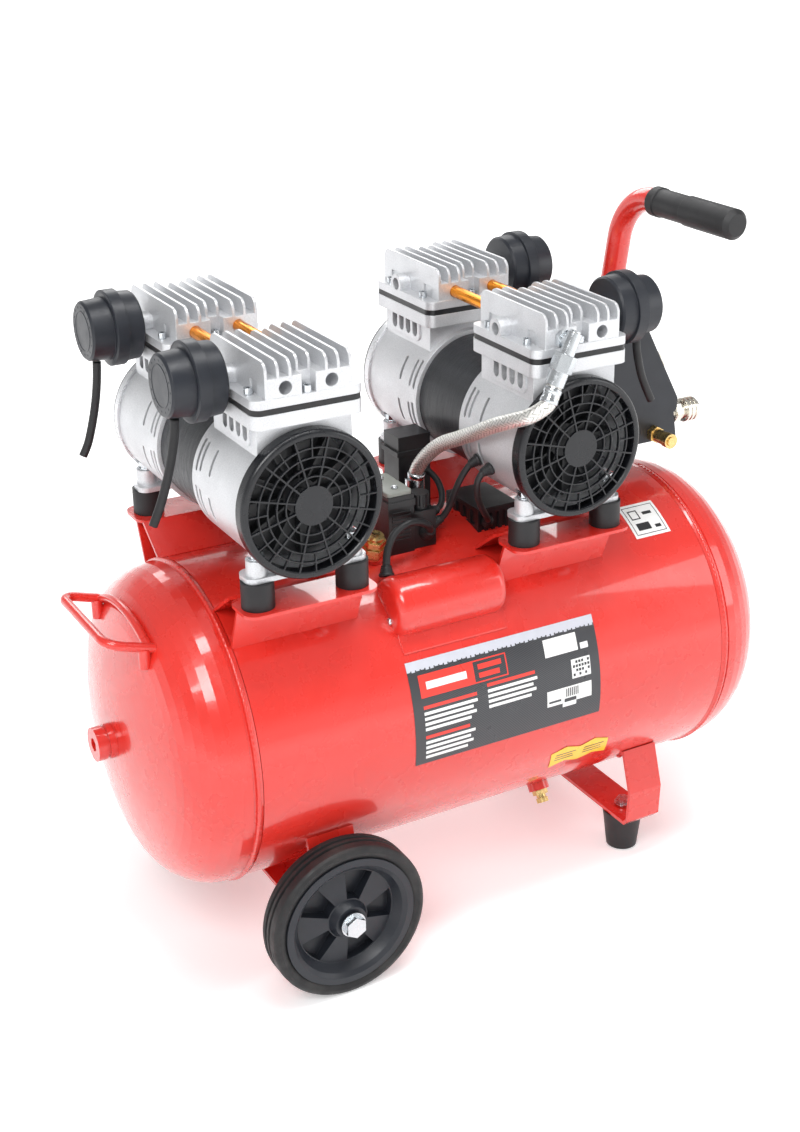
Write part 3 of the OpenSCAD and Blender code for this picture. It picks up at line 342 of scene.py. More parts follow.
FINISHES = {
    "red_paint": red_paint(),
    "cast_alloy": cast_alloy(),
    "slate_plastic": moulded("slate_plastic", (0.009, 0.011, 0.016), 0.4),
    "black_plastic": moulded("black_plastic", (0.006, 0.006, 0.007), 0.36),
    "rubber": moulded("rubber", (0.007, 0.007, 0.008), 0.5, grain=600),
    "tyre": tyre_rubber(),
    "black_steel": black_steel(),
    "bare_steel": rotor_metal(),
    "piston_alloy": metal("piston_alloy", (0.55, 0.55, 0.56), (0.7, 0.7, 0.71), 0.35),
    "zinc": metal("zinc", (0.50, 0.53, 0.56), (0.74, 0.77, 0.79), 0.2),
    "brass": metal("brass", (0.62, 0.42, 0.15), (0.86, 0.64, 0.3), 0.26),
    "nickel": metal("nickel", (0.66, 0.62, 0.53), (0.84, 0.81, 0.74), 0.22),
    "gold_tube": metal("gold_tube", (0.76, 0.22, 0.012), (0.92, 0.36, 0.03), 0.24, (1, 0.1, 1)),
    "braid": braid_metal(),
}
LAMINATED = laminated()
SLEEVE = cast_alloy("sleeve", (0.05, 0.05, 0.055), (0.09, 0.09, 0.1))
FAN_COVER = fan_cover_finish()
GREY_LID = moulded("grey_lid", (0.2, 0.21, 0.19), 0.4)
DIAL_WHITE = printed("dial_white", (0.82, 0.82, 0.8))
PRINT_DARK = woven_print()
PRINT_BLACK = printed("print_black", (0.012, 0.012, 0.014))
PRINT_GREY = printed("print_grey", (0.50, 0.52, 0.58))
PRINT_RED = printed("print_red", (0.74, 0.035, 0.022))
PRINT_WHITE = printed("print_white", (0.8, 0.8, 0.79))
PRINT_YELLOW = printed("print_yellow", (0.85, 0.52, 0.02))

for part in frame["record"]["subparts"]:
    node = frame["nodes"][part["node"]]
    finish = FINISHES[part["material_slot"]]
    if part["node"].startswith("stator"):
        finish = LAMINATED
    elif part["node"].startswith("fan_covers"):
        finish = FAN_COVER
    elif part["node"] == "cylinder_sleeves":
        finish = SLEEVE
    for place in node.material_slots:
        place.material = finish


# ---------------------------------------------------------------- mesh kit
def piece(name, mesh, slot, finish=None, body="frame", smooth=True):
    """Links a mesh as a piece that rides on a body and takes its finish from a slot."""
    if isinstance(mesh, bmesh.types.BMesh):
        built = mesh
        mesh = bpy.data.meshes.new(name)
        bmesh.ops.recalc_face_normals(built, faces=built.faces)
        built.to_mesh(mesh)
        built.free()
    obj = bpy.data.objects.new(name, mesh)
    bpy.context.scene.collection.objects.link(obj)
    if not mesh.materials:
        mesh.materials.append(finish or FINISHES[slot])
    for face in mesh.polygons:
        face.use_smooth = smooth
    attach(obj, body)
    return obj


def frames_along(points, closed=False):
    """A tangent and two side directions at each point of a route, turning as little as they can."""
    n = len(points)
    out, side = [], None
    for i in range(n):
        ahead = points[(i + 1) % n] if closed else points[min(i + 1, n - 1)]
        behind = points[(i - 1) % n] if closed else points[max(i - 1, 0)]
        t = (ahead - behind).normalized()
        if side is None:
            side = t.cross(Vector((0, 1, 0)) if abs(t.y) < 0.9 else Vector((1, 0, 0)))
        side = (side - t * side.dot(t)).normalized()
        out.append((t, side, t.cross(side)))
    return out


def add_tube(bm, points, radius, sides=12, closed=False, mark=None):
    """Adds a tube along points; radius may be a number or a function of (ring, side)."""
    rings = []
    for i, (t, a, b) in enumerate(frames_along(points, closed)):
        ring = []
        for k in range(sides):
            r = radius(i, k) if callable(radius) else radius
            turn = 2 * math.pi * k / sides
            vert = bm.verts.new(points[i] + (a * math.cos(turn) + b * math.sin(turn)) * r)
            if mark:
                vert[mark[0]] = mark[1](i, k)
            ring.append(vert)
        rings.append(ring)
    pairs = list(zip(rings, rings[1:])) + ([(rings[-1], rings[0])] if closed else [])
    for lower, upper in pairs:
        for k in range(sides):
            q = (k + 1) % sides
            bm.faces.new((lower[k], lower[q], upper[q], upper[k]))
    if not closed:
        bm.faces.new(rings[0][::-1])
        bm.faces.new(rings[-1])


def add_lathe(bm, profile, place, sides=32):
    """Adds a closed turned form: profile is (radius, height) pairs, place a 4x4 matrix."""
    rings = []
    for r, h in profile:
        if r < 1e-6:
            rings.append([bm.verts.new(place @ Vector((0, 0, h)))])
        else:
            rings.append([bm.verts.new(place @ Vector((r * math.cos(2 * math.pi * k / sides),
                                                       r * math.sin(2 * math.pi * k / sides), h)))
                          for k in range(sides)])
    for a, b in zip(rings, rings[1:]):
        for k in range(sides):
            q = (k + 1) % sides
            corners = [a[k % len(a)], a[q % len(a)], b[q % len(b)], b[k % len(b)]]
            unique = list(dict.fromkeys(corners))
            if len(unique) > 2:
                bm.faces.new(unique)


def aimed(point, direction):
    """A matrix that puts +Z along direction at point."""
    turn = Vector(direction).to_track_quat("Z", "Y").to_matrix().to_4x4()
    return Matrix.Translation(point) @ turn


def spline(points, steps):
    """A Catmull-Rom curve through points, as CAD sweeps its tubes."""
    pts = [Vector(p) for p in points]
    out = []
    for i in range(len(pts) - 1):
        a, b = pts[max(i - 1, 0)], pts[i]
        c, d = pts[i + 1], pts[min(i + 2, len(pts) - 1)]
        for j in range(steps):
            t = j / steps
            out.append(0.5 * (2 * b + (c - a) * t + (2 * a - 5 * b + 4 * c - d) * t * t
                              + (3 * b - a - 3 * c + d) * t ** 3))
    return out + [pts[-1]]


def resampled(points, step):
    """The same route with points a fixed distance apart."""
    out, left = [points[0]], step
    for a, b in zip(points, points[1:]):
        span = (b - a).length
        at = left
        while at <= span:
            out.append(a.lerp(b, at / span))
            at += step
        left = at - span
    return out


# ---------------------------------------------------------------- soft drain tubes that hang free
DRIP_R = 0.004
DRIPS = {
    "drip_left_front": (0.097, [(-292, -84, 336), (-293, -84, 322), (-296, -84, 306), (-300, -84, 290),
                                (-305, -84, 274), (-311, -84, 258), (-318, -84, 243)]),
    "drip_left_rear": (0.093, [(-292, 106, 336), (-293, 106, 322), (-295, 106, 306), (-298, 106, 290),
                               (-302, 106, 274), (-307, 106, 258), (-313, 106, 246)]),
    "drip_right_front": (0.074, [(189, -84, 336), (190, -84, 322), (193, -84, 308), (197, -84, 294),
                                 (203, -84, 280), (210, -84, 266)]),
}


def drip_tube(node, route):
    points = spline([from_tank(*p) for p in route], 6)
    bm = bmesh.new()
    add_tube(bm, points, DRIP_R * 0.995, 24)
    tube = piece(node + "_tube", bm, "rubber")
    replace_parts(tube, node)


for node, (length, route) in DRIPS.items():
    drip_tube(node, route)


# ---------------------------------------------------------------- braided hose
HOSE_R = 0.0073
HOSE_ROUTE = [(40, -164, 331), (32, -167, 317), (19, -160, 306), (11, -142, 297), (5, -118, 286),
              (1, -94, 273), (-2, -66, 259), (-5, -40, 246), (-9, -20, 230), (-12, -7, 214),
              (-13, -1, 200), (-13, 0, 190)]
STRANDS, STRAND_PITCH = 12, 0.052


def weave(along, turn):
    """Height of the braid, from low in a gap to 1 on a strand: two families of strands that cross in turn."""
    wind = 2 * math.pi * along / STRAND_PITCH
    one, two = STRANDS / 2 * (turn + wind), STRANDS / 2 * (turn - wind)
    over = math.sin(one / 2) * math.sin(two / 2) > 0
    lift = abs(math.sin(one if over else two))
    return 0.25 + 0.75 * lift ** 0.7


HOSE_STEP = 0.0005
HOSE_SIDES = 96
BRAID_DEPTH = 0.0005


def braided_hose():
    points = resampled(spline([from_tank(*p) for p in HOSE_ROUTE], 12), HOSE_STEP)
    bm = bmesh.new()
    # The weave layer keeps the braid's height at each point. The braid finish turns its low values into
    # painted shade in the gaps.
    layer = bm.verts.layers.float.new("weave")

    def height(i, k):
        return weave(i * HOSE_STEP, 2 * math.pi * k / HOSE_SIDES)

    def radius(i, k):
        return HOSE_R - BRAID_DEPTH * (1 - height(i, k))

    add_tube(bm, points, radius, HOSE_SIDES, mark=(layer, height))
    hose = piece("braided_hose", bm, "braid")
    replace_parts(hose, "air_hose")
    for name, at, back in (("hose_ferrule_top", 4, 30), ("hose_ferrule_low", -5, -30)):
        bm = bmesh.new()
        a, b = points[at], points[at + back]
        span = (b - a).length
        r = HOSE_R + 0.0004
        add_lathe(bm, [(HOSE_R * 0.8, 0), (r, 0), (r + 0.0009, 0.0012), (r + 0.0009, span * 0.3),
                       (r + 0.0002, span * 0.34), (r + 0.0002, span * 0.62), (r + 0.0009, span * 0.66),
                       (r + 0.0009, span * 0.95), (r, span), (HOSE_R * 0.8, span)],
                  aimed(a, b - a), 36)
        piece(name, bm, "zinc")


braided_hose()


# ---------------------------------------------------------------- weld beads
def bead(name, points, radius=0.0028, pitch=0.0055, closed=False):
    """A rippled fillet of weld metal along a route, painted over."""
    points = resampled(points, pitch / 4)
    bm = bmesh.new()

    def ripple(i, k):
        return radius * (0.78 + 0.22 * abs(math.sin(math.pi * i / 4)))

    add_tube(bm, points, ripple, 10, closed)
    return piece(name, bm, "red_paint")


def on_shell(x, degrees, lift=0.0):
    """A point on the shell: x from the tank's middle in mm, degrees from the top towards the front."""
    a = math.radians(degrees)
    r = TANK_R + lift
    return tank + Vector((x * MM, -r * math.sin(a), r * math.cos(a)))


def line(a, b, n=24):
    return [a.lerp(b, i / n) for i in range(n + 1)]


def arc_on_shell(x, start, end, n=40):
    return [on_shell(x, start + (end - start) * i / n) for i in range(n + 1)]


SEAM_GAP = 5
BRACKET_EDGES = {"wheel_bracket": 124.5, "foot_bracket": 137.5}
SADDLE_EDGE = 39.5
SADDLE_LENGTH = 0.1266
TACK_PLACES = (0.12, 0.38, 0.64, 0.9)
TACK_HALF = 6


def weld_beads():
    """Seams round the heads, edges of the brackets (in degrees from the top) and tacks on the saddles."""
    for side, half in (("left", -1), ("right", 1)):
        seam = half * ((shell_hi[0] - shell_lo[0]) / 2 / MM + SEAM_GAP)
        bead(f"seam_weld_{side}", arc_on_shell(seam, 0, 359, 200), 0.0022)
    for node, edge in BRACKET_EDGES.items():
        lo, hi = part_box(node)
        x0, x1 = (lo[0] - tank.x) / MM, (hi[0] - tank.x) / MM
        for end, sign in (("front", 1), ("rear", -1)):
            bead(f"{node}_weld_{end}", line(on_shell(x0 + 2, sign * edge), on_shell(x1 - 2, sign * edge)))
    lo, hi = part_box("saddle_plates")
    for side, a, b in (("left", lo[0], lo[0] + SADDLE_LENGTH), ("right", hi[0] - SADDLE_LENGTH, hi[0])):
        x0, x1 = (a - tank.x) / MM, (b - tank.x) / MM
        for end, sign in (("front", 1), ("rear", -1)):
            for k, share in enumerate(TACK_PLACES):
                x = x0 + (x1 - x0) * share
                ends = [on_shell(x + step, sign * SADDLE_EDGE) for step in (-TACK_HALF, TACK_HALF)]
                bead(f"saddle_{side}_{end}_tack_{k}", line(*ends, 6), 0.003)


weld_beads()


def ring_bead(name, centre, direction, radius, thick=0.0025, lift=None):
    """A weld round a boss or tube; lift moves a point of the ring onto the surface below it."""
    turn = aimed(centre, direction)
    points = []
    for k in range(97):
        a = 2 * math.pi * k / 96
        p = turn @ Vector((radius * math.cos(a), radius * math.sin(a), 0))
        points.append(lift(p) if lift else p)
    return bead(name, points, thick)


def to_shell(p):
    """Moves a point straight up or down onto the shell's surface."""
    y = p.y - tank.y
    return Vector((p.x, p.y, tank.z + math.sqrt(TANK_R ** 2 - y * y) + 0.0008))


handle_lo, handle_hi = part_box("handle_tube")
HANDLE_R = 0.0125
HANDLE_LEAN = math.radians(9)
base = Vector((handle_lo[0] + HANDLE_R / math.cos(HANDLE_LEAN) + 0.0006, handle_hi[1] - HANDLE_R, 0))
ring_bead("handle_weld", base, (0, 0, 1), HANDLE_R + 0.001, lift=to_shell)


# ---------------------------------------------------------------- labels, with bars in place of words
def patch(bm, x0, x1, a0, a1, lift, index=0, columns=None):
    """A thin curved sheet on the shell between two x places (mm) and two angles (degrees)."""
    columns = columns or max(2, int(abs(a1 - a0) / 2))
    rows = [[bm.verts.new(on_shell(x, a0 + (a1 - a0) * i / columns, lift)) for x in (x0, x1)]
            for i in range(columns + 1)]
    for lower, upper in zip(rows, rows[1:]):
        face = bm.faces.new((lower[0], lower[1], upper[1], upper[0]))
        face.material_index = index


def label(name, patches, finishes, slot="black_plastic"):
    bm = bmesh.new()
    for x0, x1, a0, a1, level, index in patches:
        patch(bm, x0, x1, a0, a1, (0.25 + 0.12 * level) * MM, index)
    mesh = bpy.data.meshes.new(name)
    for finish in finishes:
        mesh.materials.append(finish)
    bm.normal_update()
    bm.to_mesh(mesh)
    bm.free()
    return piece(name, mesh, slot)


def bars(x0, x1, a0, count, step, level, index, thick=1.1, wobble=(0, 5, 2, 8, 3)):
    """Short bars one under another that stand for lines of print."""
    return [(x0, x1 - wobble[k % len(wobble)], a0 + k * step, a0 + k * step + thick, level, index)
            for k in range(count)]


def frame_of(x0, x1, a0, a1, level, index, thick=1.0):
    """Four thin strips round an area: thick is in millimetres, and in turn of the shell."""
    rise = math.degrees(thick * MM / TANK_R)
    return [(x0, x1, a0, a0 + rise, level, index), (x0, x1, a1 - rise, a1, level, index),
            (x0, x0 + thick, a0, a1, level, index), (x1 - thick, x1, a0, a1, level, index)]


def main_label():
    dark, grey, white, red = range(4)
    left, right, top = -103, 107, 60.5
    parts = [(left, right, top, 98, 0, dark), (left, right, top, 63.6, 1, grey)]
    # the grey strip's lower edge is torn
    for i in range(42):
        drop = 0.35 + 0.45 * abs(math.sin(2.1 * i) * math.cos(0.7 * i))
        parts.append((left + 5 * i, left + 5 * i + 3.6, 63.6, 63.6 + drop, 1, grey))
    parts += [(-93, -35, 65.6, 73.6, 1, red)] + frame_of(-35, 3, 65.6, 73.6, 1, red, 1.3)
    parts += [(-86, -42, 68.3, 70.9, 2, white), (-29, -3, 67.2, 69.0, 2, red), (-29, -6, 70.2, 72.0, 2, red)]
    parts += [(-92, -34, 76.4, 77.6, 1, red)] + bars(-92, -34, 78.6, 4, 1.9, 1, white)
    parts += [(-22, 32, 74.6, 75.8, 1, red)] + bars(-22, 34, 76.8, 4, 1.9, 1, white)
    parts += [(-92, -44, 87.2, 88.4, 1, red)] + bars(-92, -38, 89.3, 4, 1.9, 1, white)
    parts += [(46, 84, 65.2, 71.6, 1, white), (87, 96, 69.4, 71.6, 1, white)]
    parts += [(74, 96, 74.6, 81.6, 1, white)]
    parts += [(75.5 + 3.4 * i, 78 + 3.4 * i, 75.2 + 1.55 * j, 76.2 + 1.55 * j, 2, dark)
              for i in range(6) for j in range(4) if (i * 3 + j * 2 + i * j) % 4]
    parts += [(44, 96, 84, 90, 1, white), (62, 78, 90, 91.6, 1, white)]
    parts += [(66 + 2.2 * i, 67.2 + 2.2 * i, 84.6, 87.8, 2, dark) for i in range(7)]
    parts += [(64, 78, 88.4, 89.8, 2, dark)] + bars(46, 60, 88, 1, 1, 2, dark, 0.8)
    label("front_label", parts, (PRINT_DARK, PRINT_GREY, PRINT_WHITE, PRINT_RED))


def crumpled_label():
    """A yellow sticker whose long edges were cut in a wave."""
    bm = bmesh.new()
    x0, x1, n = 59, 128, 23
    rows = []
    for i in range(n + 1):
        t = i / n
        wave = 2.2 * abs((2 * t) % 1 * 2 - 1)
        rows.append([bm.verts.new(on_shell(x0 + (x1 - x0) * t + 4 * share, 111.5 + wave + 9.0 * share,
                                           (0.35 + 0.25 * abs(math.sin(4 * t + 2 * share))) * MM))
                     for share in (0, 0.2, 0.4, 0.6, 0.8, 1)])
    for lower, upper in zip(rows, rows[1:]):
        for k in range(5):
            bm.faces.new((lower[k], upper[k], upper[k + 1], lower[k + 1]))
    mesh = bpy.data.meshes.new("caution_label")
    mesh.materials.append(PRINT_YELLOW)
    bm.normal_update()
    bm.to_mesh(mesh)
    bm.free()
    piece("caution_label", mesh, "black_plastic")
    lines = []
    for half in (0, 1):
        start = 66 + 34 * half
        lines += bars(start, start + 24, 115.2, 3, 1.5, 3, 0, 0.5, (0, 3, 1))
    label("caution_print", lines, (PRINT_BLACK,))


def small_labels():
    parts = [(190, 233, 22.5, 38, 0, 0)] + frame_of(193, 230, 23.7, 36.8, 1, 1, 0.8)
    parts += frame_of(197, 208, 25.6, 30.0, 1, 1, 1.4) + [(213, 224, 27.0, 28.4, 1, 1)]
    parts += [(198, 214, 31.8, 35.0, 1, 1), (219, 226, 33.6, 35.0, 1, 1)]
    label("rating_label", parts, (PRINT_WHITE, PRINT_BLACK))


main_label()
crumpled_label()
small_labels()


# ---------------------------------------------------------------- covers, leads and small hardware
def rounded_block(name, lo, hi, corner, edge, slot, finish=None):
    """A block from lo to hi (mm from the tank) with round upright corners and softened rims."""
    lo, hi = Vector(lo), Vector(hi)
    bm = bmesh.new()
    bmesh.ops.create_cube(bm, size=1.0)
    for vert in bm.verts:
        vert.co = from_tank(*[(lo[k] + hi[k]) / 2 + vert.co[k] * (hi[k] - lo[k]) for k in range(3)])
    upright = [e for e in bm.edges if abs(e.verts[0].co.z - e.verts[1].co.z) > 1e-5]
    bmesh.ops.bevel(bm, geom=upright, offset=corner * MM, segments=5, profile=0.5, affect="EDGES")
    rims = [e for e in bm.edges if e.calc_face_angle(0) > 0.8]
    bmesh.ops.bevel(bm, geom=rims, offset=edge * MM, segments=3, profile=0.5, affect="EDGES")
    return piece(name, bm, slot, finish)


def screw(name, point, direction, radius=0.0036, slot="zinc"):
    """A pan-head screw with a recess."""
    r = radius
    bm = bmesh.new()
    add_lathe(bm, [(0, 0.45 * r), (0.35 * r, 0.45 * r), (0.42 * r, 0.8 * r), (0.7 * r, 0.74 * r),
                   (0.93 * r, 0.5 * r), (r, 0.2 * r), (r, 0), (0, 0)], aimed(point, direction), 28)
    piece(name, bm, slot)


# the capacitor cover: its ends, lean, radius, height above the shell and skirt, in millimetres
HOOD_X = (-104, 14)
HOOD_TURN = math.radians(41)
HOOD_R = 29
HOOD_CREST = 4
HOOD_SKIRT = 32
HOOD_END_R = 10


def hood_point(x, across, out):
    """A point on the capacitor cover: across its width, and out from its round middle, in mm."""
    r = TANK_R / MM + HOOD_CREST + out
    s, c = math.sin(HOOD_TURN), math.cos(HOOD_TURN)
    return from_tank(x, across * c - r * s, across * s + r * c)


def capacitor_hood():
    """The pressed cover: a half-round top, straight sides and rolled ends."""
    steps, turns = 7, 28
    roll = [math.pi / 2 * k / steps for k in range(steps + 1)]
    left, right = ([(end + inward * HOOD_END_R * (1 - math.cos(a)), HOOD_END_R * (1 - math.sin(a)))
                    for a in roll] for end, inward in ((HOOD_X[0], 1), (HOOD_X[1], -1)))
    bm = bmesh.new()
    rings = []
    for x, inset in left + right[::-1]:
        r = HOOD_R - inset
        outline = [(-r, -HOOD_SKIRT)]
        outline += [(-r * math.cos(math.pi * k / turns), r * math.sin(math.pi * k / turns))
                    for k in range(turns + 1)]
        outline.append((r, -HOOD_SKIRT))
        rings.append([bm.verts.new(hood_point(x, u, v)) for u, v in outline])
    n = len(rings[0])
    for lower, upper in zip(rings, rings[1:]):
        for k in range(n):
            q = (k + 1) % n
            bm.faces.new((lower[k], lower[q], upper[q], upper[k]))
    bm.faces.new(rings[0][::-1])
    bm.faces.new(rings[-1])
    hood = piece("capacitor_hood", bm, "red_paint")
    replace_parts(hood, "capacitor_cover")
    hood_flange()
    screw("hood_screw_front", hood_point(HOOD_X[0] + 0.3, -12, -4), (-1, 0, 0))
    screw("hood_screw_rear", hood_point(HOOD_X[1] - 0.3, -12, -4), (1, 0, 0))


def hood_flange():
    """A narrow flange that lies on the shell along the cover's front: (degrees, lift in mm) pairs."""
    section = ((50.5, 0.2), (50.5, 1.6), (57.2, 1.6), (57.7, 1.1), (57.7, 0.2))
    ends = (HOOD_X[0] + 3, HOOD_X[1] - 3)
    bm = bmesh.new()
    rows = []
    for a, lift in section:
        rows.append([bm.verts.new(on_shell(x, a, lift * MM)) for x in ends])
    for k in range(len(rows)):
        a, b = rows[k], rows[(k + 1) % len(rows)]
        bm.faces.new((a[0], a[1], b[1], b[0]))
    bm.faces.new([row[0] for row in rows][::-1])
    bm.faces.new([row[1] for row in rows])
    piece("hood_flange", bm, "red_paint", smooth=False)


LEADS = [
    (0.0038, [(-30, -53.5, 164), (-30, -59, 167), (-36, -66, 177), (-48, -68, 184), (-62, -70, 185),
              (-76, -72, 178), (-86, -77, 166), (-91, -83, 154), (-93, -87, 146)]),
    (0.0032, [(40, -51, 160), (38, -56, 163), (30, -66, 172), (18, -76, 188), (8, -84, 206),
              (5, -90, 222), (10, -92, 231), (17, -92, 233)]),
    (0.0032, [(-18, -38, 178), (-12, -38, 178), (-3, -34, 181), (4, -24, 188), (7, -10, 196),
              (6, 4, 201), (4, 15, 203)]),
    (0.0032, [(16, -72, 236), (9, -70, 232), (2, -66, 220), (-2, -60, 204), (-4, -54, 188),
              (-8, -50, 177), (-13, -47, 171), (-18, -46, 169)]),
]


def boot_profile(radius):
    """A ribbed boot round a lead of this radius: a wide foot, then four ribs that get narrower."""
    profile = [(0, -1.5 * MM), (radius * 1.9, -1.5 * MM), (radius * 2.0, 0), (radius * 1.9, 1.6 * MM)]
    for k in range(4):
        base = (2.2 + 1.8 * k) * MM
        wide = radius * (1.7 - 0.12 * k)
        profile += [(wide - 0.5 * MM, base), (wide, base + 0.4 * MM), (wide, base + 1.0 * MM),
                    (wide - 0.5 * MM, base + 1.4 * MM)]
    return profile + [(radius * 1.02, 9.8 * MM), (0, 9.8 * MM)]


def leads():
    """The leads, held at both ends, with a boot where each goes in."""
    bm = bmesh.new()
    for radius, route in LEADS:
        add_tube(bm, spline([from_tank(*p) for p in route], 6), radius, 20)
    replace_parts(piece("leads", bm, "rubber"), "cables")
    for n, (radius, route) in enumerate(LEADS):
        for end, at, ahead in (("start", route[0], route[1]), ("end", route[-1], route[-2])):
            point, toward = from_tank(*at), from_tank(*ahead)
            bm = bmesh.new()
            add_lathe(bm, boot_profile(radius), aimed(point, toward - point), 28)
            piece(f"lead_boot_{n}_{end}", bm, "rubber")


def switch_cover():
    """The pressure switch's grey lid with its two screws."""
    lo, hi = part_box("pressure_switch")
    top = (hi[2] - tank.z) / MM
    left = (lo[0] - tank.x) / MM + 0.6
    rounded_block("switch_lid", (left, -53.2, top - 4.6), (left + 27.2, -0.6, top + 0.4), 3.5, 1.2,
                  "black_plastic", GREY_LID)
    screw("lid_screw", from_tank(left + 13.6, -14, top + 0.4), (0, 0, 1), 0.0034)
    screw("lid_screw_front", from_tank(left + 13.6, -42, top + 0.4), (0, 0, 1), 0.0034)


def intake_necks():
    """Bare aluminium sleeves between the right unit's heads and its filters."""
    for front in ("front", "rear"):
        lo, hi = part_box("head_right_" + front)
        mid_y = (lo[1] + hi[1]) / 2 + 11 * MM
        z = lo[2] + 13 * MM
        bm = bmesh.new()
        add_lathe(bm, [(9.1 * MM, 0.3 * MM), (11 * MM, 0.3 * MM), (11 * MM, 10 * MM), (12.4 * MM, 10.6 * MM),
                       (12.4 * MM, 18.4 * MM), (9.1 * MM, 18.4 * MM), (9.1 * MM, 0.3 * MM)],
                  aimed(Vector((hi[0], mid_y, z)), (1, 0, 0)), 40)
        piece("intake_neck_" + front, bm, "cast_alloy")


FASCIA_CORNER = (286, -9, 240)
FASCIA_RISE, FASCIA_RUN = 75, 39
DIAL_ALONG = 46


def dial():
    """The gauge's white face with its ticks and needle, in a turned bezel on the fascia's sloping edge."""
    lean = math.atan2(FASCIA_RISE, FASCIA_RUN)
    x, y, z = FASCIA_CORNER
    centre = from_tank(x - DIAL_ALONG * math.cos(lean), y, z + DIAL_ALONG * math.sin(lean))
    turn = aimed(centre, (math.sin(lean), 0, math.cos(lean)))
    bm = bmesh.new()
    add_lathe(bm, [(0, 1.3 * MM), (15.6 * MM, 1.3 * MM), (15.6 * MM, 1.6 * MM), (0, 1.6 * MM)], turn, 48)
    piece("dial_face", bm, "nickel", DIAL_WHITE, smooth=False)
    bm = bmesh.new()
    add_lathe(bm, [(15.4 * MM, 1.3 * MM), (17.7 * MM, 1.3 * MM), (17.7 * MM, 3.2 * MM), (17.0 * MM, 4 * MM),
                   (15.9 * MM, 3.8 * MM), (15.4 * MM, 2.4 * MM), (15.4 * MM, 1.3 * MM)], turn, 56)
    piece("dial_bezel", bm, "nickel")

    def bar(bm, inner, outer, width, degrees, height):
        a = math.radians(degrees)
        along, side = Vector((math.cos(a), math.sin(a), 0)), Vector((-math.sin(a), math.cos(a), 0))
        corners = [along * d + side * w for d, w in ((inner, -width), (outer, -width / 2), (outer, width / 2),
                                                     (inner, width))]
        low = [bm.verts.new(turn @ (c * MM + Vector((0, 0, 1.55 * MM)))) for c in corners]
        high = [bm.verts.new(turn @ (c * MM + Vector((0, 0, height * MM)))) for c in corners]
        bm.faces.new(high)
        bm.faces.new(low[::-1])
        for k in range(4):
            q = (k + 1) % 4
            bm.faces.new((low[k], low[q], high[q], high[k]))

    bm = bmesh.new()
    for k in range(25):
        long = k % 4 == 0
        bar(bm, 11.2 if long else 12.6, 14.4, 0.35 if long else 0.2, -45 + 270 * k / 24, 1.75)
    piece("dial_ticks", bm, "black_plastic", PRINT_BLACK, smooth=False)
    bm = bmesh.new()
    bar(bm, -3.5, 12.0, 0.6, 215, 2.2)
    piece("dial_needle", bm, "red_paint", PRINT_RED, smooth=False)
    bm = bmesh.new()
    add_lathe(bm, [(0, 1.6 * MM), (1.8 * MM, 1.6 * MM), (1.8 * MM, 2.5 * MM), (1.2 * MM, 3 * MM),
                   (0, 3 * MM)], turn, 24)
    piece("dial_hub", bm, "nickel")


DIMPLES, DIMPLE_R = 16, 0.0225


def filter_marks():
    """Moulded dimples round each filter's end cap, and a fine raised ring inside them."""
    for side, sign in (("left", -1), ("right", 1)):
        lo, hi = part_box("filters_" + side)
        end = lo[0] if sign < 0 else hi[0]
        radius = (hi[2] - lo[2]) / 2
        z = (lo[2] + hi[2]) / 2
        for where, y in (("front", lo[1] + radius), ("rear", hi[1] - radius)):
            bm = bmesh.new()
            for k in range(DIMPLES):
                a = 2 * math.pi * k / DIMPLES
                at = Vector((end, y + DIMPLE_R * math.cos(a), z + DIMPLE_R * math.sin(a)))
                add_lathe(bm, [(0, -1 * MM), (1.1 * MM, -1 * MM), (1.1 * MM, 0.1 * MM), (0.8 * MM, 0.25 * MM),
                               (0, 0.25 * MM)], aimed(at, (sign, 0, 0)), 10)
            add_lathe(bm, [(18.2 * MM, -1 * MM), (19.2 * MM, -1 * MM), (19.2 * MM, 0.3 * MM),
                           (18.2 * MM, 0.3 * MM), (18.2 * MM, -1 * MM)],
                      aimed(Vector((end, y, z)), (sign, 0, 0)), 48)
            piece(f"filter_marks_{side}_{where}", bm, "slate_plastic")


capacitor_hood()
leads()
switch_cover()
intake_necks()
dial()
filter_marks()


# ---------------------------------------------------------------- floor and light
FLOOR_HALF = 30.0


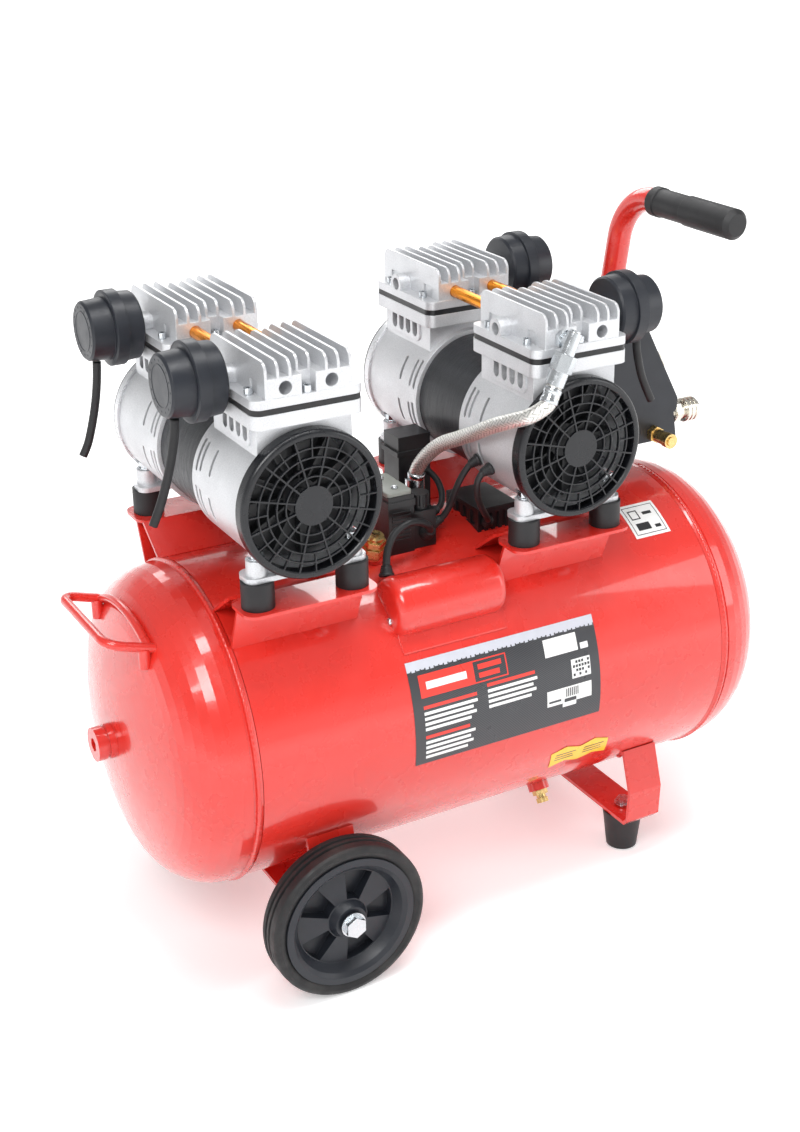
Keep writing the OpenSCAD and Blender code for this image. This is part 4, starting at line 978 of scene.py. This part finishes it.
def make_floor():
    """A pale floor that glows more with distance, so that it has no visible end."""
    mesh = bpy.data.meshes.new("floor")
    bm = bmesh.new()
    signs = ((-1, -1), (1, -1), (1, 1), (-1, 1))
    bm.faces.new([bm.verts.new((x * FLOOR_HALF, y * FLOOR_HALF, 0)) for x, y in signs])
    bm.to_mesh(mesh)
    bm.free()
    floor = bpy.data.objects.new("floor", mesh)
    bpy.context.scene.collection.objects.link(floor)
    m = Nodes("floor", (0.88, 0.88, 0.885), 0.6)
    m.color(m.mix(m.noise(3, 3), (0.87, 0.87, 0.875), (0.89, 0.89, 0.895)))
    m.bsdf.inputs["Specular IOR Level"].default_value = 0.2
    m.bsdf.inputs["Emission Color"].default_value = (1, 1, 1, 1)
    distance = m.add("ShaderNodeVectorMath", operation="LENGTH")
    m.link(m.place, distance.inputs[0])
    m.link(m.ramp(distance.outputs["Value"], 0.34, 1.0, 0.9, 2.6), m.bsdf.inputs["Emission Strength"])
    mesh.materials.append(m.material)


def make_world():
    """White light all round, brightest at the horizon and dimmer overhead."""
    world = bpy.data.worlds.new("studio")
    bpy.context.scene.world = world
    world.use_nodes = True
    nodes, link = world.node_tree.nodes, world.node_tree.links.new
    background = nodes["Background"]
    background.inputs["Color"].default_value = (1, 1, 1, 1)
    direction = nodes.new("ShaderNodeTexCoord")
    height = nodes.new("ShaderNodeSeparateXYZ")
    fade = nodes.new("ShaderNodeMapRange")
    for socket, value in (("From Min", 0.12), ("From Max", 0.3), ("To Min", 1.0), ("To Max", 0.42)):
        fade.inputs[socket].default_value = value
    link(direction.outputs["Generated"], height.inputs[0])
    link(height.outputs["Z"], fade.inputs["Value"])
    link(fade.outputs["Result"], background.inputs["Strength"])


# name, place, size and power of each soft light
LIGHTS = (
    ("key", (-1.5, -1.5, 2.2), (1.3, 1.0), 40),
    ("fill", (2.0, -1.6, 1.2), (0.9, 1.6), 13),
    ("back", (0.6, 2.2, 1.8), (2.0, 0.8), 20),
    ("top", (0.1, -0.5, 2.6), (1.7, 0.45), 30),
)
LIT_POINT = Vector((0, 0, 0.3))


def make_lights():
    for name, place, size, power in LIGHTS:
        data = bpy.data.lights.new(name, "AREA")
        data.shape = "RECTANGLE"
        data.size, data.size_y = size
        data.energy = power
        light = bpy.data.objects.new(name, data)
        light.location = place
        light.rotation_euler = (LIT_POINT - Vector(place)).to_track_quat("-Z", "Y").to_euler()
        bpy.context.scene.collection.objects.link(light)


make_floor()
make_world()
make_lights()
